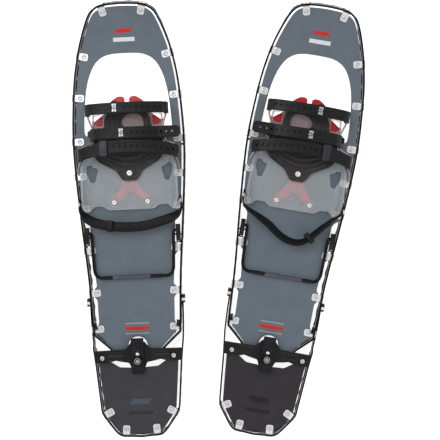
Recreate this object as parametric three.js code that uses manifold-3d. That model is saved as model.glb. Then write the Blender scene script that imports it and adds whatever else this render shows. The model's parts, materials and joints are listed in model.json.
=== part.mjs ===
// A pair of mountain snowshoes with flotation tails, in millimetres, +Z up, +Y towards the toes, +X right.
// Each shoe is built once in its own frame: x = 0 is its centre line, y = 0 its mid-length, z = 0 the ground.
// "Station" is the distance back from the toe along the centre line, so y = SHOE_LENGTH / 2 - station.
// The right shoe is the left shoe mirrored, apart from its looser heel strap.
import * as THREE from "three";
import { mergeVertices } from "three/addons/utils/BufferGeometryUtils.js";
import Module from "manifold-3d";

// ---- driving dimensions ----
const SHOE_LENGTH = 770; // with the tail fitted
const RAIL_TOP = 26; // height of the rail
const RAIL_WALL = 2.6;
const RAIL_BAND_LOW = 19; // lower edge of the band that the clips wrap
const WINDOW_LOW = 9; // lower edge of the windows under that band
const TOOTH_DEPTH = 7;
const TOOTH_STEPS = 2; // outline points in one tooth
const POINT_SPACING = 12; // along the rail
const DECK_LOW = 22;
const DECK_TOP = 23.2;
const DECK_INSET = 6.3; // rail's outer face to the sheet's edge
const GAP = 0.4; // between pieces that touch on the real object
const BEND_STATION = 118; // the toe turns up in front of here
const BEND_RADIUS = 260;
const BEND_LEVEL = 24; // the level that keeps its length

const AXLE_STATION = 230;
const AXLE_HEIGHT = 16;
const AXLE_RADIUS = 3.9;
const AXLE_REACH = 74; // from the centre line
const EAR_X = 68.5; // inner face of the ears that carry the axle
const EAR_WALL = 3.5;
const FRONT_BAR_STATION = 251;
const FRONT_BAR_HALF = 95.6;
const REAR_BAR_STATION = 412;
const REAR_BAR_HALF = 85;
const BAR_WALL = 2.6;
const BAR_TOP = 21.4;
const BAR_END_TOP = 16;
const BAR_LOW = 1;

const CRAMPON_LOW = 24;
const CRAMPON_WALL = 2;
const FLANGE_X = 63; // outer face of the crampon's side flanges
const FLANGE_WALL = 2.5;
const PLATE_LOW = 26.6;
const PLATE_WALL = 2.6;
const PAD_LOW = PLATE_LOW + PLATE_WALL + GAP;
const PAD_WALL = 3.4;

const LIFTER_STATION = 405;
const LIFTER_HEIGHT = 29.6;
const LIFTER_REACH = 80; // pivot to crossbar
const LIFTER_WIRE = 2.75; // radius

const TAIL_SEAT = 26.8; // underside of the tail's crossbar
const TAIL_BAR_TOP = 31.5;
const KNOB_STATION = 632;

// The two shoes lie with their toes turned the same way.
const LEFT_PLACE = { x: -157.4, y: 6.3, yaw: 2.6 };
const RIGHT_PLACE = { x: 121.2, y: 5.5, yaw: -9.6 };

const wasm = await Module();
wasm.setup();

// ---- materials ----
const finish = (color, roughness, metalness) =>
  new THREE.MeshStandardMaterial({ color, roughness, metalness });
const MATERIALS = {
  rail: finish(0x2c2a2b, 0.45, 0.3),
  deck: finish(0x646e78, 0.7, 0),
  steel: finish(0xb9bbbe, 0.35, 1),
  crampon: finish(0xc4141e, 0.4, 0.2),
  plate: finish(0x8c979d, 0.25, 0),
  elastomer: finish(0x242223, 0.75, 0),
  moulding: finish(0x1f1e1f, 0.55, 0),
  tail: finish(0x464448, 0.7, 0),
  sleeve: finish(0x77757a, 0.6, 0),
};

// ---- solids ----
// A manifold solid from a closed geometry, with its faces turned out whichever way they were drawn.
function solid(geometry) {
  const bare = geometry.index ? geometry.toNonIndexed() : geometry.clone();
  bare.deleteAttribute("normal");
  bare.deleteAttribute("uv");
  const merged = mergeVertices(bare, 1e-3);
  const corners = Array.from(merged.index.array);
  const kept = [];
  for (let i = 0; i < corners.length; i += 3) {
    const [a, b, c] = corners.slice(i, i + 3);
    if (a !== b && b !== c && c !== a) kept.push(a, b, c);
  }
  const triVerts = new Uint32Array(signedVolume(merged, kept) < 0 ? kept.reverse() : kept);
  const vertProperties = new Float32Array(merged.attributes.position.array);
  return new wasm.Manifold(new wasm.Mesh({ numProp: 3, vertProperties, triVerts }));
}

function signedVolume(geometry, corners) {
  const at = (k) => new THREE.Vector3().fromBufferAttribute(geometry.attributes.position, k);
  let volume = 0;
  for (let i = 0; i < corners.length; i += 3) {
    volume += at(corners[i]).dot(at(corners[i + 1]).cross(at(corners[i + 2]))) / 6;
  }
  return volume;
}

function geometryOf(body) {
  const mesh = body.getMesh();
  const geometry = new THREE.BufferGeometry();
  geometry.setAttribute("position", new THREE.BufferAttribute(mesh.vertProperties, 3));
  geometry.setIndex(new THREE.BufferAttribute(mesh.triVerts, 1));
  return geometry;
}

function join(geometries) {
  const bodies = geometries.map(solid);
  return geometryOf(bodies.reduce((whole, body) => whole.add(body)));
}

function cut(geometry, tools) {
  return geometryOf(tools.reduce((whole, tool) => whole.subtract(solid(tool)), solid(geometry)));
}

const yAt = (station) => SHOE_LENGTH / 2 - station;
const mirrored = (points) => points.map(([x, station]) => [-x, station]).reverse();

// A closed outline from one half, given from the front centre to the rear centre.
function outlineFrom(half) {
  const inner = half.filter(([x]) => x > 0);
  return [...half, ...mirrored(inner)];
}

// A flat sheet cut to an outline of [x, station] points.
function sheet(points, low, thickness) {
  const shape = new THREE.Shape(points.map(([x, station]) => new THREE.Vector2(x, yAt(station))));
  const geometry = new THREE.ExtrudeGeometry(shape, { depth: thickness, bevelEnabled: false });
  return geometry.translate(0, 0, low);
}

// An upright plate across the shoe, cut to an outline of [x, z] points, with its rear face at a station.
function crossPlate(points, station, thickness) {
  const shape = new THREE.Shape(points.map(([x, z]) => new THREE.Vector2(x, z)));
  const geometry = new THREE.ExtrudeGeometry(shape, { depth: thickness, bevelEnabled: false });
  return geometry.rotateX(Math.PI / 2).translate(0, yAt(station) + thickness, 0);
}

// An upright plate along the shoe, cut to an outline of [station, z] points, from x to x + thickness.
function sidePlate(points, x, thickness) {
  const shape = new THREE.Shape(points.map(([station, z]) => new THREE.Vector2(yAt(station), z)));
  const geometry = new THREE.ExtrudeGeometry(shape, { depth: thickness, bevelEnabled: false });
  return geometry.rotateX(Math.PI / 2).rotateZ(Math.PI / 2).translate(x, 0, 0);
}

function box(x, station, z, width, length, height) {
  return new THREE.BoxGeometry(width, length, height).translate(x, yAt(station), z);
}

function post(x, station, low, high, radius, sides = 6) {
  const geometry = new THREE.CylinderGeometry(radius, radius, high - low, sides);
  return geometry.rotateX(Math.PI / 2).translate(x, yAt(station), (low + high) / 2);
}

// A turned piece on a vertical axis, from [radius, z] points.
function turned(profile, x, station, sides) {
  const points = profile.map(([radius, z]) => new THREE.Vector2(radius, z));
  return new THREE.LatheGeometry(points, sides)
    .rotateX(Math.PI / 2)
    .translate(x, yAt(station), 0);
}

// A solid from rings of points, each joined to the next. Unless the rings close a loop, both ends are capped
// in strips from one edge of the section to the other, so a thin curled section keeps its shape.
function loft(rings, loop = false) {
  const count = rings[0].length;
  const index = [];
  const joints = loop ? rings.length : rings.length - 1;
  for (let ring = 0; ring < joints; ring += 1) {
    for (let k = 0; k < count; k += 1) {
      const a = ring * count + k;
      const b = ring * count + ((k + 1) % count);
      const ahead = ((ring + 1) % rings.length) * count;
      const c = ahead + k;
      const d = ahead + ((k + 1) % count);
      index.push(a, b, c, b, d, c);
    }
  }
  if (!loop) {
    for (const [first, step] of [[0, -1], [(rings.length - 1) * count, 1]]) {
      for (let k = 0; k < count / 2 - 1; k += 1) {
        const [a, b, c, d] = [k, k + 1, count - 2 - k, count - 1 - k].map((i) => first + i);
        const quad = [a, b, c, a, c, d];
        index.push(...(step > 0 ? quad : quad.reverse()));
      }
    }
  }
  const geometry = new THREE.BufferGeometry();
  const positions = rings.flat().flatMap((p) => [p.x, p.y, p.z]);
  geometry.setAttribute("position", new THREE.Float32BufferAttribute(positions, 3));
  geometry.setIndex(index);
  return geometry;
}

// Sweeps a section of [across, up] points along a path of [x, station, z] points.
// side(i) is the direction of "across" at point i.
function sweep(path, section, side) {
  const points = path.map(([x, station, z]) => new THREE.Vector3(x, yAt(station), z));
  const rings = points.map((point, i) => {
    const before = points[Math.max(i - 1, 0)];
    const after = points[Math.min(i + 1, points.length - 1)];
    const along = after.clone().sub(before).normalize();
    const across = side(i).clone();
    across.addScaledVector(along, -across.dot(along)).normalize();
    const up = new THREE.Vector3().crossVectors(along, across);
    return section.map(([a, b]) =>
      point.clone().addScaledVector(across, a).addScaledVector(up, b),
    );
  });
  return loft(rings);
}

const strapSection = (width, thickness) => [
  [-width / 2, -thickness / 2],
  [width / 2, -thickness / 2],
  [width / 2, thickness / 2],
  [-width / 2, thickness / 2],
];

function wireSection(radius, sides) {
  return Array.from({ length: sides }, (_, k) => {
    const angle = (2 * Math.PI * k) / sides;
    return [radius * Math.cos(angle), radius * Math.sin(angle)];
  });
}

const ALONG_SHOE = new THREE.Vector3(0, 1, 0);
const ACROSS_SHOE = new THREE.Vector3(1, 0, 0);
const UPWARDS = new THREE.Vector3(0, 0, 1);

const band = (path, width, thickness) =>
  sweep(path, strapSection(width, thickness), () => ALONG_SHOE);

// ---- the upturned toe ----
// In front of BEND_STATION everything on the frame follows a circular arc.
function bendToe(geometry) {
  const position = geometry.attributes.position;
  const start = yAt(BEND_STATION);
  for (let i = 0; i < position.count; i += 1) {
    const ahead = position.getY(i) - start;
    if (ahead > 0) {
      const angle = ahead / BEND_RADIUS;
      const radius = BEND_RADIUS + BEND_LEVEL - position.getZ(i);
      position.setY(i, start + radius * Math.sin(angle));
      position.setZ(i, BEND_RADIUS + BEND_LEVEL - radius * Math.cos(angle));
    }
  }
  return geometry;
}

// ---- outlines of the two rails, right half, front to rear ----
function halfPath(sidePoints, endPoints) {
  const at = ([x, station]) => new THREE.Vector2(x, yAt(station));
  const path = new THREE.CurvePath();
  path.add(new THREE.SplineCurve(sidePoints.map(at)));
  const corners = [sidePoints.at(-1), ...endPoints].map(at);
  for (let k = 1; k < corners.length; k += 1) {
    path.add(new THREE.LineCurve(corners[k - 1], corners[k]));
  }
  return path;
}

const MAIN_HALF = halfPath(
  [
    [0, 2], [22, 3], [40, 6], [55, 15], [64.5, 30], [75.6, 58], [84.4, 88], [92.2, 130],
    [96.8, 180], [99.4, 240], [97.6, 300], [91, 390], [83.2, 480], [79.2, 560], [78, 586],
  ],
  [[50, 611.5], [32, 630.5], [0, 635]],
);
const TAIL_HALF = halfPath(
  [[83.6, 522], [83, 565], [81.2, 600], [76.8, 640], [73.4, 680], [71.2, 705], [69.8, 722]],
  [[62, 737], [45, 760], [37, 767], [0, 770]],
);

// Evenly spaced stops along an outline, each with its point, the way out of the shoe and the wall's heights.
function stopsAlong(half, heights) {
  const steps = Math.round(half.getLength() / POINT_SPACING / TOOTH_STEPS) * TOOTH_STEPS;
  const points = half.getSpacedPoints(steps);
  return points.map((point, i) => {
    const before = points[Math.max(i - 1, 0)];
    const after = points[Math.min(i + 1, points.length - 1)];
    const along = after.clone().sub(before).normalize();
    const valley = i % TOOTH_STEPS === 0 ? TOOTH_DEPTH : 0;
    return { point, out: new THREE.Vector2(-along.y, along.x), ...heights(point.y, valley) };
  });
}

function mirroredStop(stop) {
  return {
    ...stop,
    point: new THREE.Vector2(-stop.point.x, stop.point.y),
    out: new THREE.Vector2(-stop.out.x, stop.out.y),
  };
}

function wallRing({ point, out, low, high }) {
  const inner = point.clone().addScaledVector(out, -RAIL_WALL);
  return [
    new THREE.Vector3(point.x, point.y, low),
    new THREE.Vector3(point.x, point.y, high),
    new THREE.Vector3(inner.x, inner.y, high),
    new THREE.Vector3(inner.x, inner.y, low),
  ];
}

// The place on an outline nearest to [x, station], between two of its stops.
function nearestPlace(stops, [x, station]) {
  const target = new THREE.Vector2(x, yAt(station));
  const places = stops.slice(1).map((stop, i) => {
    const from = stops[i];
    const along = stop.point.clone().sub(from.point);
    const share = target.clone().sub(from.point).dot(along) / along.lengthSq();
    const within = THREE.MathUtils.clamp(share, 0, 1);
    return {
      point: from.point.clone().lerp(stop.point, within),
      out: from.out.clone().lerp(stop.out, within).normalize(),
    };
  });
  return places.reduce((best, place) =>
    place.point.distanceTo(target) < best.point.distanceTo(target) ? place : best,
  );
}

// Copies of a piece on both sides of the shoe. The piece is made with its centre on the rail's outer face
// and +X out of the shoe, and is the same when seen from its left or its right.
function onBothSides(stops, places, make) {
  return places.flatMap((place) => {
    const found = nearestPlace(stops, place);
    return [found, mirroredStop(found)].map(({ point, out }) =>
      make().rotateZ(Math.atan2(out.y, out.x)).translate(point.x, point.y, 0),
    );
  });
}

// ---- clips ----
// A clip leaves the rail through a slot above its band, returns through the window below the band, and grips
// the sheet between two leaves. The rail's top edge runs on above it.
const CLIP_WIDTH = 13;
const CLIP_LEAF = 1.1;
const CLIP_REACH = 20; // rail's outer face to the leaf's inner end
const CLIP_STEP = 4.4; // rail's outer face to the step down to the sheet
const CLIP_OUT = 2.1;
const CLIP_PLAY = 1; // between the clip and the rail's wall
const RIVET_RADIUS = 3.6;
const RIVET_HEIGHT = 2.2;
const RIVET_INSET = 13; // rail's outer face to the rivet
const SLOT_LOW = DECK_TOP - GAP;
const SLOT_HIGH = DECK_TOP + CLIP_LEAF + GAP;

function clip() {
  const at = (x, z) => new THREE.Vector2(x, z);
  const shape = new THREE.Shape([
    at(-CLIP_REACH, DECK_LOW - CLIP_LEAF),
    at(-DECK_INSET, DECK_LOW - CLIP_LEAF),
    at(-CLIP_STEP, RAIL_BAND_LOW - 1.8),
    at(CLIP_OUT, RAIL_BAND_LOW - 1.8),
    at(CLIP_OUT, DECK_TOP + CLIP_LEAF),
    at(-CLIP_REACH, DECK_TOP + CLIP_LEAF),
  ]);
  const railHole = [
    at(-RAIL_WALL - CLIP_PLAY, RAIL_BAND_LOW - 0.7),
    at(-RAIL_WALL - CLIP_PLAY, DECK_TOP),
    at(CLIP_PLAY, DECK_TOP),
    at(CLIP_PLAY, RAIL_BAND_LOW - 0.7),
  ];
  shape.holes.push(new THREE.Path(railHole));
  const strap = new THREE.ExtrudeGeometry(shape, { depth: CLIP_WIDTH, bevelEnabled: false });
  strap.rotateX(Math.PI / 2).translate(0, CLIP_WIDTH / 2, 0);
  const rivet = new THREE.CylinderGeometry(RIVET_RADIUS, RIVET_RADIUS, RIVET_HEIGHT, 6);
  rivet.rotateX(Math.PI / 2).translate(-RIVET_INSET, 0, DECK_TOP + CLIP_LEAF);
  return join([strap, rivet]);
}

// An opening through the rail's wall, from one height to another.
function railOpening(length, low, high) {
  const geometry = new THREE.BoxGeometry(RAIL_WALL * 4, length, high - low);
  return geometry.translate(0, 0, (low + high) / 2);
}

const railWindow = (length) => railOpening(length, WINDOW_LOW, RAIL_BAND_LOW);

// The window and the slot that one row of clips passes through.
function clipOpenings(stops, places) {
  const length = CLIP_WIDTH + 3;
  return [
    ...onBothSides(stops, places, () => railWindow(length)),
    ...onBothSides(stops, places, () => railOpening(length, SLOT_LOW, SLOT_HIGH)),
  ];
}

const MAIN_CLIPS = [
  [36, 5], [83, 90], [94.5, 165], [99.4, 243], [97.4, 305], [93.4, 362],
  [87, 437], [81.2, 512], [78.4, 577],
];
const MAIN_SLOTS = [[97.5, 204], [95.8, 333], [84.4, 465]];
const TAIL_CLIPS = [[66, 730], [27.5, 768]];

// ---- the main frame ----
const MAIN_STOPS = stopsAlong(MAIN_HALF, (y, valley) => ({ low: valley, high: RAIL_TOP }));

function frameRail() {
  const loop = [...MAIN_STOPS, ...MAIN_STOPS.slice(1, -1).reverse().map(mirroredStop)];
  const lighter = onBothSides(MAIN_STOPS, MAIN_SLOTS, () => railWindow(22));
  const openings = [...clipOpenings(MAIN_STOPS, MAIN_CLIPS), ...lighter];
  return bendToe(cut(loft(loop.map(wallRing), true), openings));
}

// The deck's edge follows the rail down to the waist, then steps in behind it. Its rear has a round notch.
const WAIST_STATION = 374;
const DECK_WAIST = [[80, 377], [76, 383], [75.5, 400]];
const DECK_REAR = [
  [66.5, 588], [47, 607.5], [30, 626], [17.5, 627], [17.5, 609],
  [16.2, 602], [12.4, 596], [6.7, 592.6], [0, 591.4],
];

function deckOutline() {
  const ahead = MAIN_STOPS.filter(({ point }) => point.y > yAt(WAIST_STATION));
  const beside = ahead.filter((stop, i) => i % 2 === 0);
  const front = beside.map(({ point, out }) => {
    const edge = point.clone().addScaledVector(out, -DECK_INSET);
    return [Math.max(edge.x, 0), SHOE_LENGTH / 2 - edge.y];
  });
  const lobes = [...lobe(437, 73, 79), ...lobe(512, 68.3, 74), ...lobe(577, 67.3, 71)];
  return outlineFrom([...front, ...DECK_WAIST, ...lobes, ...DECK_REAR]);
}

// A rounded tab of the sheet that reaches out to a clip on the waist.
function lobe(station, inner, outer) {
  return [
    [inner, station - 12],
    [outer - 2, station - 8],
    [outer, station - 5],
    [outer, station + 5],
    [outer - 2, station + 8],
    [inner, station + 12],
  ];
}

const TOE_OPENING = [
  [0, 88.5], [24, 89.5], [40, 94], [52, 103], [61, 117], [68, 136], [73, 160], [76, 188],
  [77.5, 212], [77.5, 227], [75, 232.5], [70, 235], [66, 236], [65, 247.5], [0, 247.5],
];

function deck() {
  const uncut = sheet(deckOutline(), DECK_LOW, DECK_TOP - DECK_LOW);
  const cloth = cut(uncut, [sheet(outlineFrom(TOE_OPENING), DECK_LOW - 5, 10)]);
  return bendToe(join([cloth, ...onBothSides(MAIN_STOPS, MAIN_CLIPS, clip)]));
}

// A crossbar's outline, with a row of teeth along its lower edge. Its top steps down where the clips' lower
// leaves pass over its ends.
function toothedBar(halfWidth, teeth) {
  const pitch = (2 * halfWidth) / teeth;
  const shoulder = halfWidth - 22;
  const points = [
    [halfWidth, BAR_END_TOP], [shoulder, BAR_END_TOP], [shoulder - 4, BAR_TOP],
    [4 - shoulder, BAR_TOP], [-shoulder, BAR_END_TOP], [-halfWidth, BAR_END_TOP], [-halfWidth, BAR_LOW],
  ];
  for (let k = 0; k < teeth; k += 1) {
    const from = -halfWidth + k * pitch;
    points.push([from + pitch * 0.4, BAR_LOW], [from + pitch * 0.5, TOOTH_DEPTH]);
    points.push([from + pitch * 0.6, BAR_LOW], [from + pitch, BAR_LOW]);
  }
  return points;
}

// A cutter for the holes that the axle turns in.
function axleBore() {
  const bore = new THREE.CylinderGeometry(AXLE_RADIUS + GAP, AXLE_RADIUS + GAP, AXLE_REACH * 3, 8);
  return bore.rotateZ(Math.PI / 2).translate(0, yAt(AXLE_STATION), AXLE_HEIGHT);
}

function frontCrossbar() {
  const plate = crossPlate(toothedBar(FRONT_BAR_HALF, 8), FRONT_BAR_STATION + BAR_WALL, BAR_WALL);
  const earOutline = [
    [AXLE_STATION - 7, 12], [AXLE_STATION - 7, 20], [AXLE_STATION + 4, BAR_TOP - 0.1],
    [FRONT_BAR_STATION + 1, BAR_TOP - 0.1], [FRONT_BAR_STATION + 1, 9], [AXLE_STATION, 9],
  ];
  const ears = [EAR_X, -EAR_X - EAR_WALL].map((x) => sidePlate(earOutline, x, EAR_WALL));
  return cut(join([plate, ...ears]), [axleBore()]);
}

function rearCrossbar() {
  return crossPlate(toothedBar(REAR_BAR_HALF, 7), REAR_BAR_STATION + BAR_WALL, BAR_WALL);
}

function pivotAxle() {
  const head = AXLE_REACH - EAR_X - EAR_WALL - GAP;
  const points = [
    [0, -AXLE_REACH], [6, -AXLE_REACH], [6, -AXLE_REACH + head], [AXLE_RADIUS, -AXLE_REACH + head],
    [AXLE_RADIUS, AXLE_REACH - head], [6, AXLE_REACH - head], [6, AXLE_REACH], [0, AXLE_REACH],
  ].map(([radius, x]) => new THREE.Vector2(radius, x));
  const geometry = new THREE.LatheGeometry(points, 8);
  return geometry.rotateZ(-Math.PI / 2).translate(0, yAt(AXLE_STATION), AXLE_HEIGHT);
}

// ---- heel lifter ----
const BRACKET_X = 76.6;
const BRACKET_WIDTH = 7.8;
const BRACKET_FOOT = 21.8;

function lifterBracket(side) {
  const outline = [
    [395, BRACKET_FOOT], [395, 32], [399, 35], [413, 35], [421, 31], [428, 27], [428, BRACKET_FOOT],
  ];
  const low = side > 0 ? BRACKET_X : -BRACKET_X - BRACKET_WIDTH;
  const bore = new THREE.CylinderGeometry(LIFTER_WIRE + GAP, LIFTER_WIRE + GAP, BRACKET_WIDTH * 4, 10);
  bore.rotateZ(Math.PI / 2).translate(side * BRACKET_X, yAt(LIFTER_STATION), LIFTER_HEIGHT);
  return cut(sidePlate(outline, low, BRACKET_WIDTH), [bore]);
}

function heelLifter() {
  const z = LIFTER_HEIGHT;
  const rear = LIFTER_STATION + LIFTER_REACH;
  const right = [
    [BRACKET_X + 7.4, LIFTER_STATION, z], [BRACKET_X - 1, LIFTER_STATION, z],
    [73, LIFTER_STATION + 2, z], [72.4, LIFTER_STATION + 6, z], [70, rear - 13, z],
    [67.5, rear - 5, z], [60, rear, z],
  ];
  const left = [...right].reverse().map(([x, station, height]) => [-x, station, height]);
  return sweep([...right, ...left], wireSection(LIFTER_WIRE, 6), () => UPWARDS);
}

const SLEEVE_HALF = 33;
const SLEEVE_RADIUS = 4.6;

function lifterSleeve() {
  const bore = LIFTER_WIRE + GAP;
  const outer = [[SLEEVE_RADIUS, -SLEEVE_HALF], [SLEEVE_RADIUS, SLEEVE_HALF]];
  const points = [[bore, -SLEEVE_HALF], ...outer, [bore, SLEEVE_HALF], [bore, -SLEEVE_HALF]];
  const profile = points.map(([radius, x]) => new THREE.Vector2(radius, x));
  return new THREE.LatheGeometry(profile, 12)
    .rotateZ(-Math.PI / 2)
    .translate(0, yAt(LIFTER_STATION + LIFTER_REACH), LIFTER_HEIGHT);
}

// ---- binding ----
const PAD_RIVET_STATION = 302;
const ARM_RIVET = [29.5, 353];
const RIVET_BORE = 3.1; // radius
const SHANK = 2.5; // radius
const WEB_MIDDLE = CRAMPON_LOW + CRAMPON_WALL / 2;

// The web lies under the base plate, with two toothed tongues in front and two arms behind.
const CRAMPON_WEB = [
  [4, 178], [4, 168], [9, 165], [17, 165.5], [27, 172], [32, 178], [42, 196], [60, 209],
  [FLANGE_X - 1, 214], [FLANGE_X - 1, 242], [42, 262], [24, 276], [15, 300], [14, 322],
  [34, 345], [37, 353], [33, 360], [26, 360], [22, 355], [6, 336], [0, 335],
];
const SIDE_TEETH = [
  [207, WEB_MIDDLE], [244, WEB_MIDDLE], [243, 12], [240, 8], [236, 8], [232, 1.5], [229, 1.5],
  [225, 9], [221, 1.5], [218, 1.5], [214, 10], [210, 4], [207, 4],
];
const TOE_POINTS = [
  [8, WEB_MIDDLE], [28, WEB_MIDDLE], [27, 12], [23, 2], [21, 2], [18, 12], [14, 2], [12, 2], [8, 14],
];
const TOE_POINT_STATION = 176;

function armRivet(side) {
  const [x, station] = ARM_RIVET;
  const headLow = PLATE_LOW + PLATE_WALL + GAP;
  return [
    post(side * x, station, WEB_MIDDLE, headLow + 1, SHANK),
    post(side * x, station, headLow, headLow + 2, 4.3),
  ];
}

function crampon() {
  const web = sheet(outlineFrom(CRAMPON_WEB), CRAMPON_LOW, CRAMPON_WALL);
  const sides = [1, -1];
  const flanges = sides.map((side) =>
    sidePlate(SIDE_TEETH, side > 0 ? FLANGE_X - FLANGE_WALL : -FLANGE_X, FLANGE_WALL),
  );
  const toePoints = sides.map((side) =>
    crossPlate(TOE_POINTS.map(([x, z]) => [side * x, z]), TOE_POINT_STATION, FLANGE_WALL),
  );
  const rivets = sides.flatMap(armRivet);
  const padRivetBore = post(0, PAD_RIVET_STATION, CRAMPON_LOW - 1, CRAMPON_LOW + 4, RIVET_BORE);
  return cut(join([web, ...flanges, ...toePoints, ...rivets]), [axleBore(), padRivetBore]);
}

// The base plate is flat under the boot and curls up at its sides. Each row is one section:
// [station at the middle, station at the edge, flat half width, full half width, curl height].
const PLATE_ROWS = [
  [195, 195, 50, 62, 0.4],
  [236, 236, 55, 64, 1],
  [266, 264, 60, 75, 8],
  [292, 292, 65, 84, 17],
  [318, 318, 65.5, 84.5, 18],
  [345, 345, 66, 85, 19],
  [366, 368, 62, 79, 16],
];

const PLATE_REAR_SIDE = 359; // the flat part's rear edge is cut forward beside the middle

function platePoint([middle, edge, flat, full, curl], across) {
  const side = Math.sign(across);
  const share = Math.abs(across);
  // the flat part takes the first half of the way out, the curl the second
  const turn = Math.max(share - 0.5, 0) * Math.PI;
  const x = share <= 0.5 ? flat * share * 2 : flat + (full - flat) * Math.sin(turn);
  const z = PLATE_LOW + curl * (1 - Math.cos(turn));
  const station = share <= 0.3 ? middle : share <= 0.5 ? Math.min(middle, PLATE_REAR_SIDE) : edge;
  const leanX = Math.sin(turn) * PLATE_WALL;
  const leanZ = Math.max(Math.cos(turn), 0.05) * PLATE_WALL;
  return {
    outer: new THREE.Vector3(side * x, yAt(station), z),
    inner: new THREE.Vector3(side * (x - leanX), yAt(station), z + leanZ),
  };
}

const SIDE_WINDOW = [[57, 299], [71, 289], [78, 291], [78, 303], [73, 317], [65, 318]];
const FRONT_WINDOW = [[44, 198], [58, 200], [61, 207], [59, 214], [52, 218], [44, 217]];

function basePlate() {
  const stops = [-1, -0.82, -0.66, -0.5, -0.3, 0.3, 0.5, 0.66, 0.82, 1];
  const rings = PLATE_ROWS.map((row) => {
    const points = stops.map((across) => platePoint(row, across));
    return [...points.map((p) => p.outer), ...points.map((p) => p.inner).reverse()];
  });
  const windows = [SIDE_WINDOW, FRONT_WINDOW].flatMap((points) => [
    sheet(points, PLATE_LOW - 5, 40),
    sheet(mirrored(points), PLATE_LOW - 5, 40),
  ]);
  const bores = [[0, PAD_RIVET_STATION], ARM_RIVET, [-ARM_RIVET[0], ARM_RIVET[1]]].map(
    ([x, station]) => post(x, station, PLATE_LOW - 1, PLATE_LOW + PLATE_WALL + 1, RIVET_BORE),
  );
  return cut(loft(rings), [...windows, ...bores]);
}

function forefootPad() {
  const outline = outlineFrom([
    [0, 196], [36, 196], [41, 212], [40, 232], [50, 256], [54, 272], [53, 281],
    [24, 297], [12, 315], [0, 315],
  ]);
  const toeWindow = [[-10, 222], [-11, 208], [-4, 200], [8, 197], [20, 198], [28, 204], [29, 222]];
  return cut(sheet(outline, PAD_LOW, PAD_WALL), [
    sheet(toeWindow, PAD_LOW - 5, 20),
    post(0, PAD_RIVET_STATION, PAD_LOW - 1, PAD_LOW + PAD_WALL + 1, RIVET_BORE),
  ]);
}

function padRivet() {
  const head = PAD_LOW + PAD_WALL + GAP;
  const foot = CRAMPON_LOW + 0.2;
  const profile = [[0, foot], [SHANK, foot], [SHANK, head], [5, head], [4.2, head + 1.8], [0, head + 2]];
  return turned(profile, 0, PAD_RIVET_STATION, 10);
}

// ---- straps ----
// Each strap crosses from a hook on the inner side wire, over the boot, to a buckle on the outer side.
const WIRE_RADIUS = 1.6;
const STRAP_WALL = 2.6;
const WIRE_STRAIGHT = 11.5; // half the straight length of wire under each strap
const ARCH_PAST_WIRE = 10; // the arch would meet the wire's level this far outside the wire
const ARCH_END = 8; // the arch stops this far inside the wire

// station of the arch's middle, x and z of the wire, x of the buckle, height of the arch's middle, the free
// end's last point, and how far behind the middle the strap meets its inner and its outer wire
const STRAPS = {
  toe: {
    station: 190.5, width: 19, wire: [68.6, 36], buckle: 18, crest: 59, tip: [70, 50], back: [0, 0],
  },
  mid: {
    station: 234, width: 20, wire: [61, 37], buckle: 8, crest: 61, tip: [93, 52], back: [0, 0],
  },
  instep: {
    station: 258.5, width: 21, wire: [83.6, 44], buckle: 38, crest: 68, tip: [90, 58], back: [8.5, 11],
  },
};

// The station of a strap's middle line at x: a bow, straight on past the wires.
function bowed({ station, wire, back }, x) {
  const share = Math.min(Math.abs(x) / wire[0], 1);
  return station + back[x > 0 ? 0 : 1] * share ** 2;
}

// A side wire runs straight under each strap and ends beside the base plate's curled edge.
function sideWire(side) {
  const path = Object.values(STRAPS).flatMap((strap) => {
    const [x, z] = strap.wire;
    const station = bowed(strap, side * x);
    return [
      [side * x, station - WIRE_STRAIGHT, z],
      [side * x, station + WIRE_STRAIGHT, z],
    ];
  });
  path.push([side * 87.6, 290, 43], [side * 87.6, 303, 40]);
  const acrossWire = ACROSS_SHOE.clone().addScaledVector(ALONG_SHOE, 0.2);
  return sweep(path, wireSection(WIRE_RADIUS, 6), () => acrossWire);
}

// The hook that a strap's end makes round a wire at [x, z].
function hook([x, z]) {
  const r = WIRE_RADIUS + GAP + STRAP_WALL / 2 + 0.3;
  return [[x + r, z + 1], [x + r * 0.75, z - r * 0.7], [x, z - r], [x - r, z - r * 0.8]];
}

// Points of the arch that a strap makes over the boot, as [x, z].
function arch([wireX, wireZ], crest, from, to, count) {
  return Array.from({ length: count }, (_, k) => {
    const x = from + ((to - from) * k) / (count - 1);
    return [x, wireZ + (crest - wireZ) * Math.sqrt(1 - (x / (wireX + ARCH_PAST_WIRE)) ** 2)];
  });
}

// The long part of a strap: round its wire, over the boot to the buckle, and back as the free end above it.
function strap(sizes) {
  const { width, wire, buckle, crest, tip } = sizes;
  const atStation = ([x, z]) => [x, bowed(sizes, x), z];
  const upper = arch(wire, crest, wire[0] - ARCH_END, -buckle + 7, 7);
  const lower = [...upper].map(([x, z]) => [x, z - STRAP_WALL - 0.1]).reverse();
  const anchor = [...lower, [wire[0] + 2, wire[1] + 8], ...hook(wire)].map(atStation);
  const free = [...[...upper].reverse(), tip].map(atStation);
  return join([band(anchor, width, STRAP_WALL), band(free, width, STRAP_WALL + 0.4)]);
}

// A buckle frame with its prong, on the short tab that hooks round the outer wire.
function buckle(sizes) {
  const { width, wire, buckle: x, crest } = sizes;
  const atStation = ([across, z]) => [-across, bowed(sizes, -across), z];
  const tab = arch(wire, crest, x + 3, wire[0] - ARCH_END, 6);
  const path = [...tab, [wire[0] + 2, wire[1] + 8], ...hook(wire)].map(atStation);
  const top = tab[0][1];
  const frame = box(-x, bowed(sizes, -x), top + 0.6, 11, width + 3, 5);
  return join([band(path, width, STRAP_WALL), frame]);
}

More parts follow.
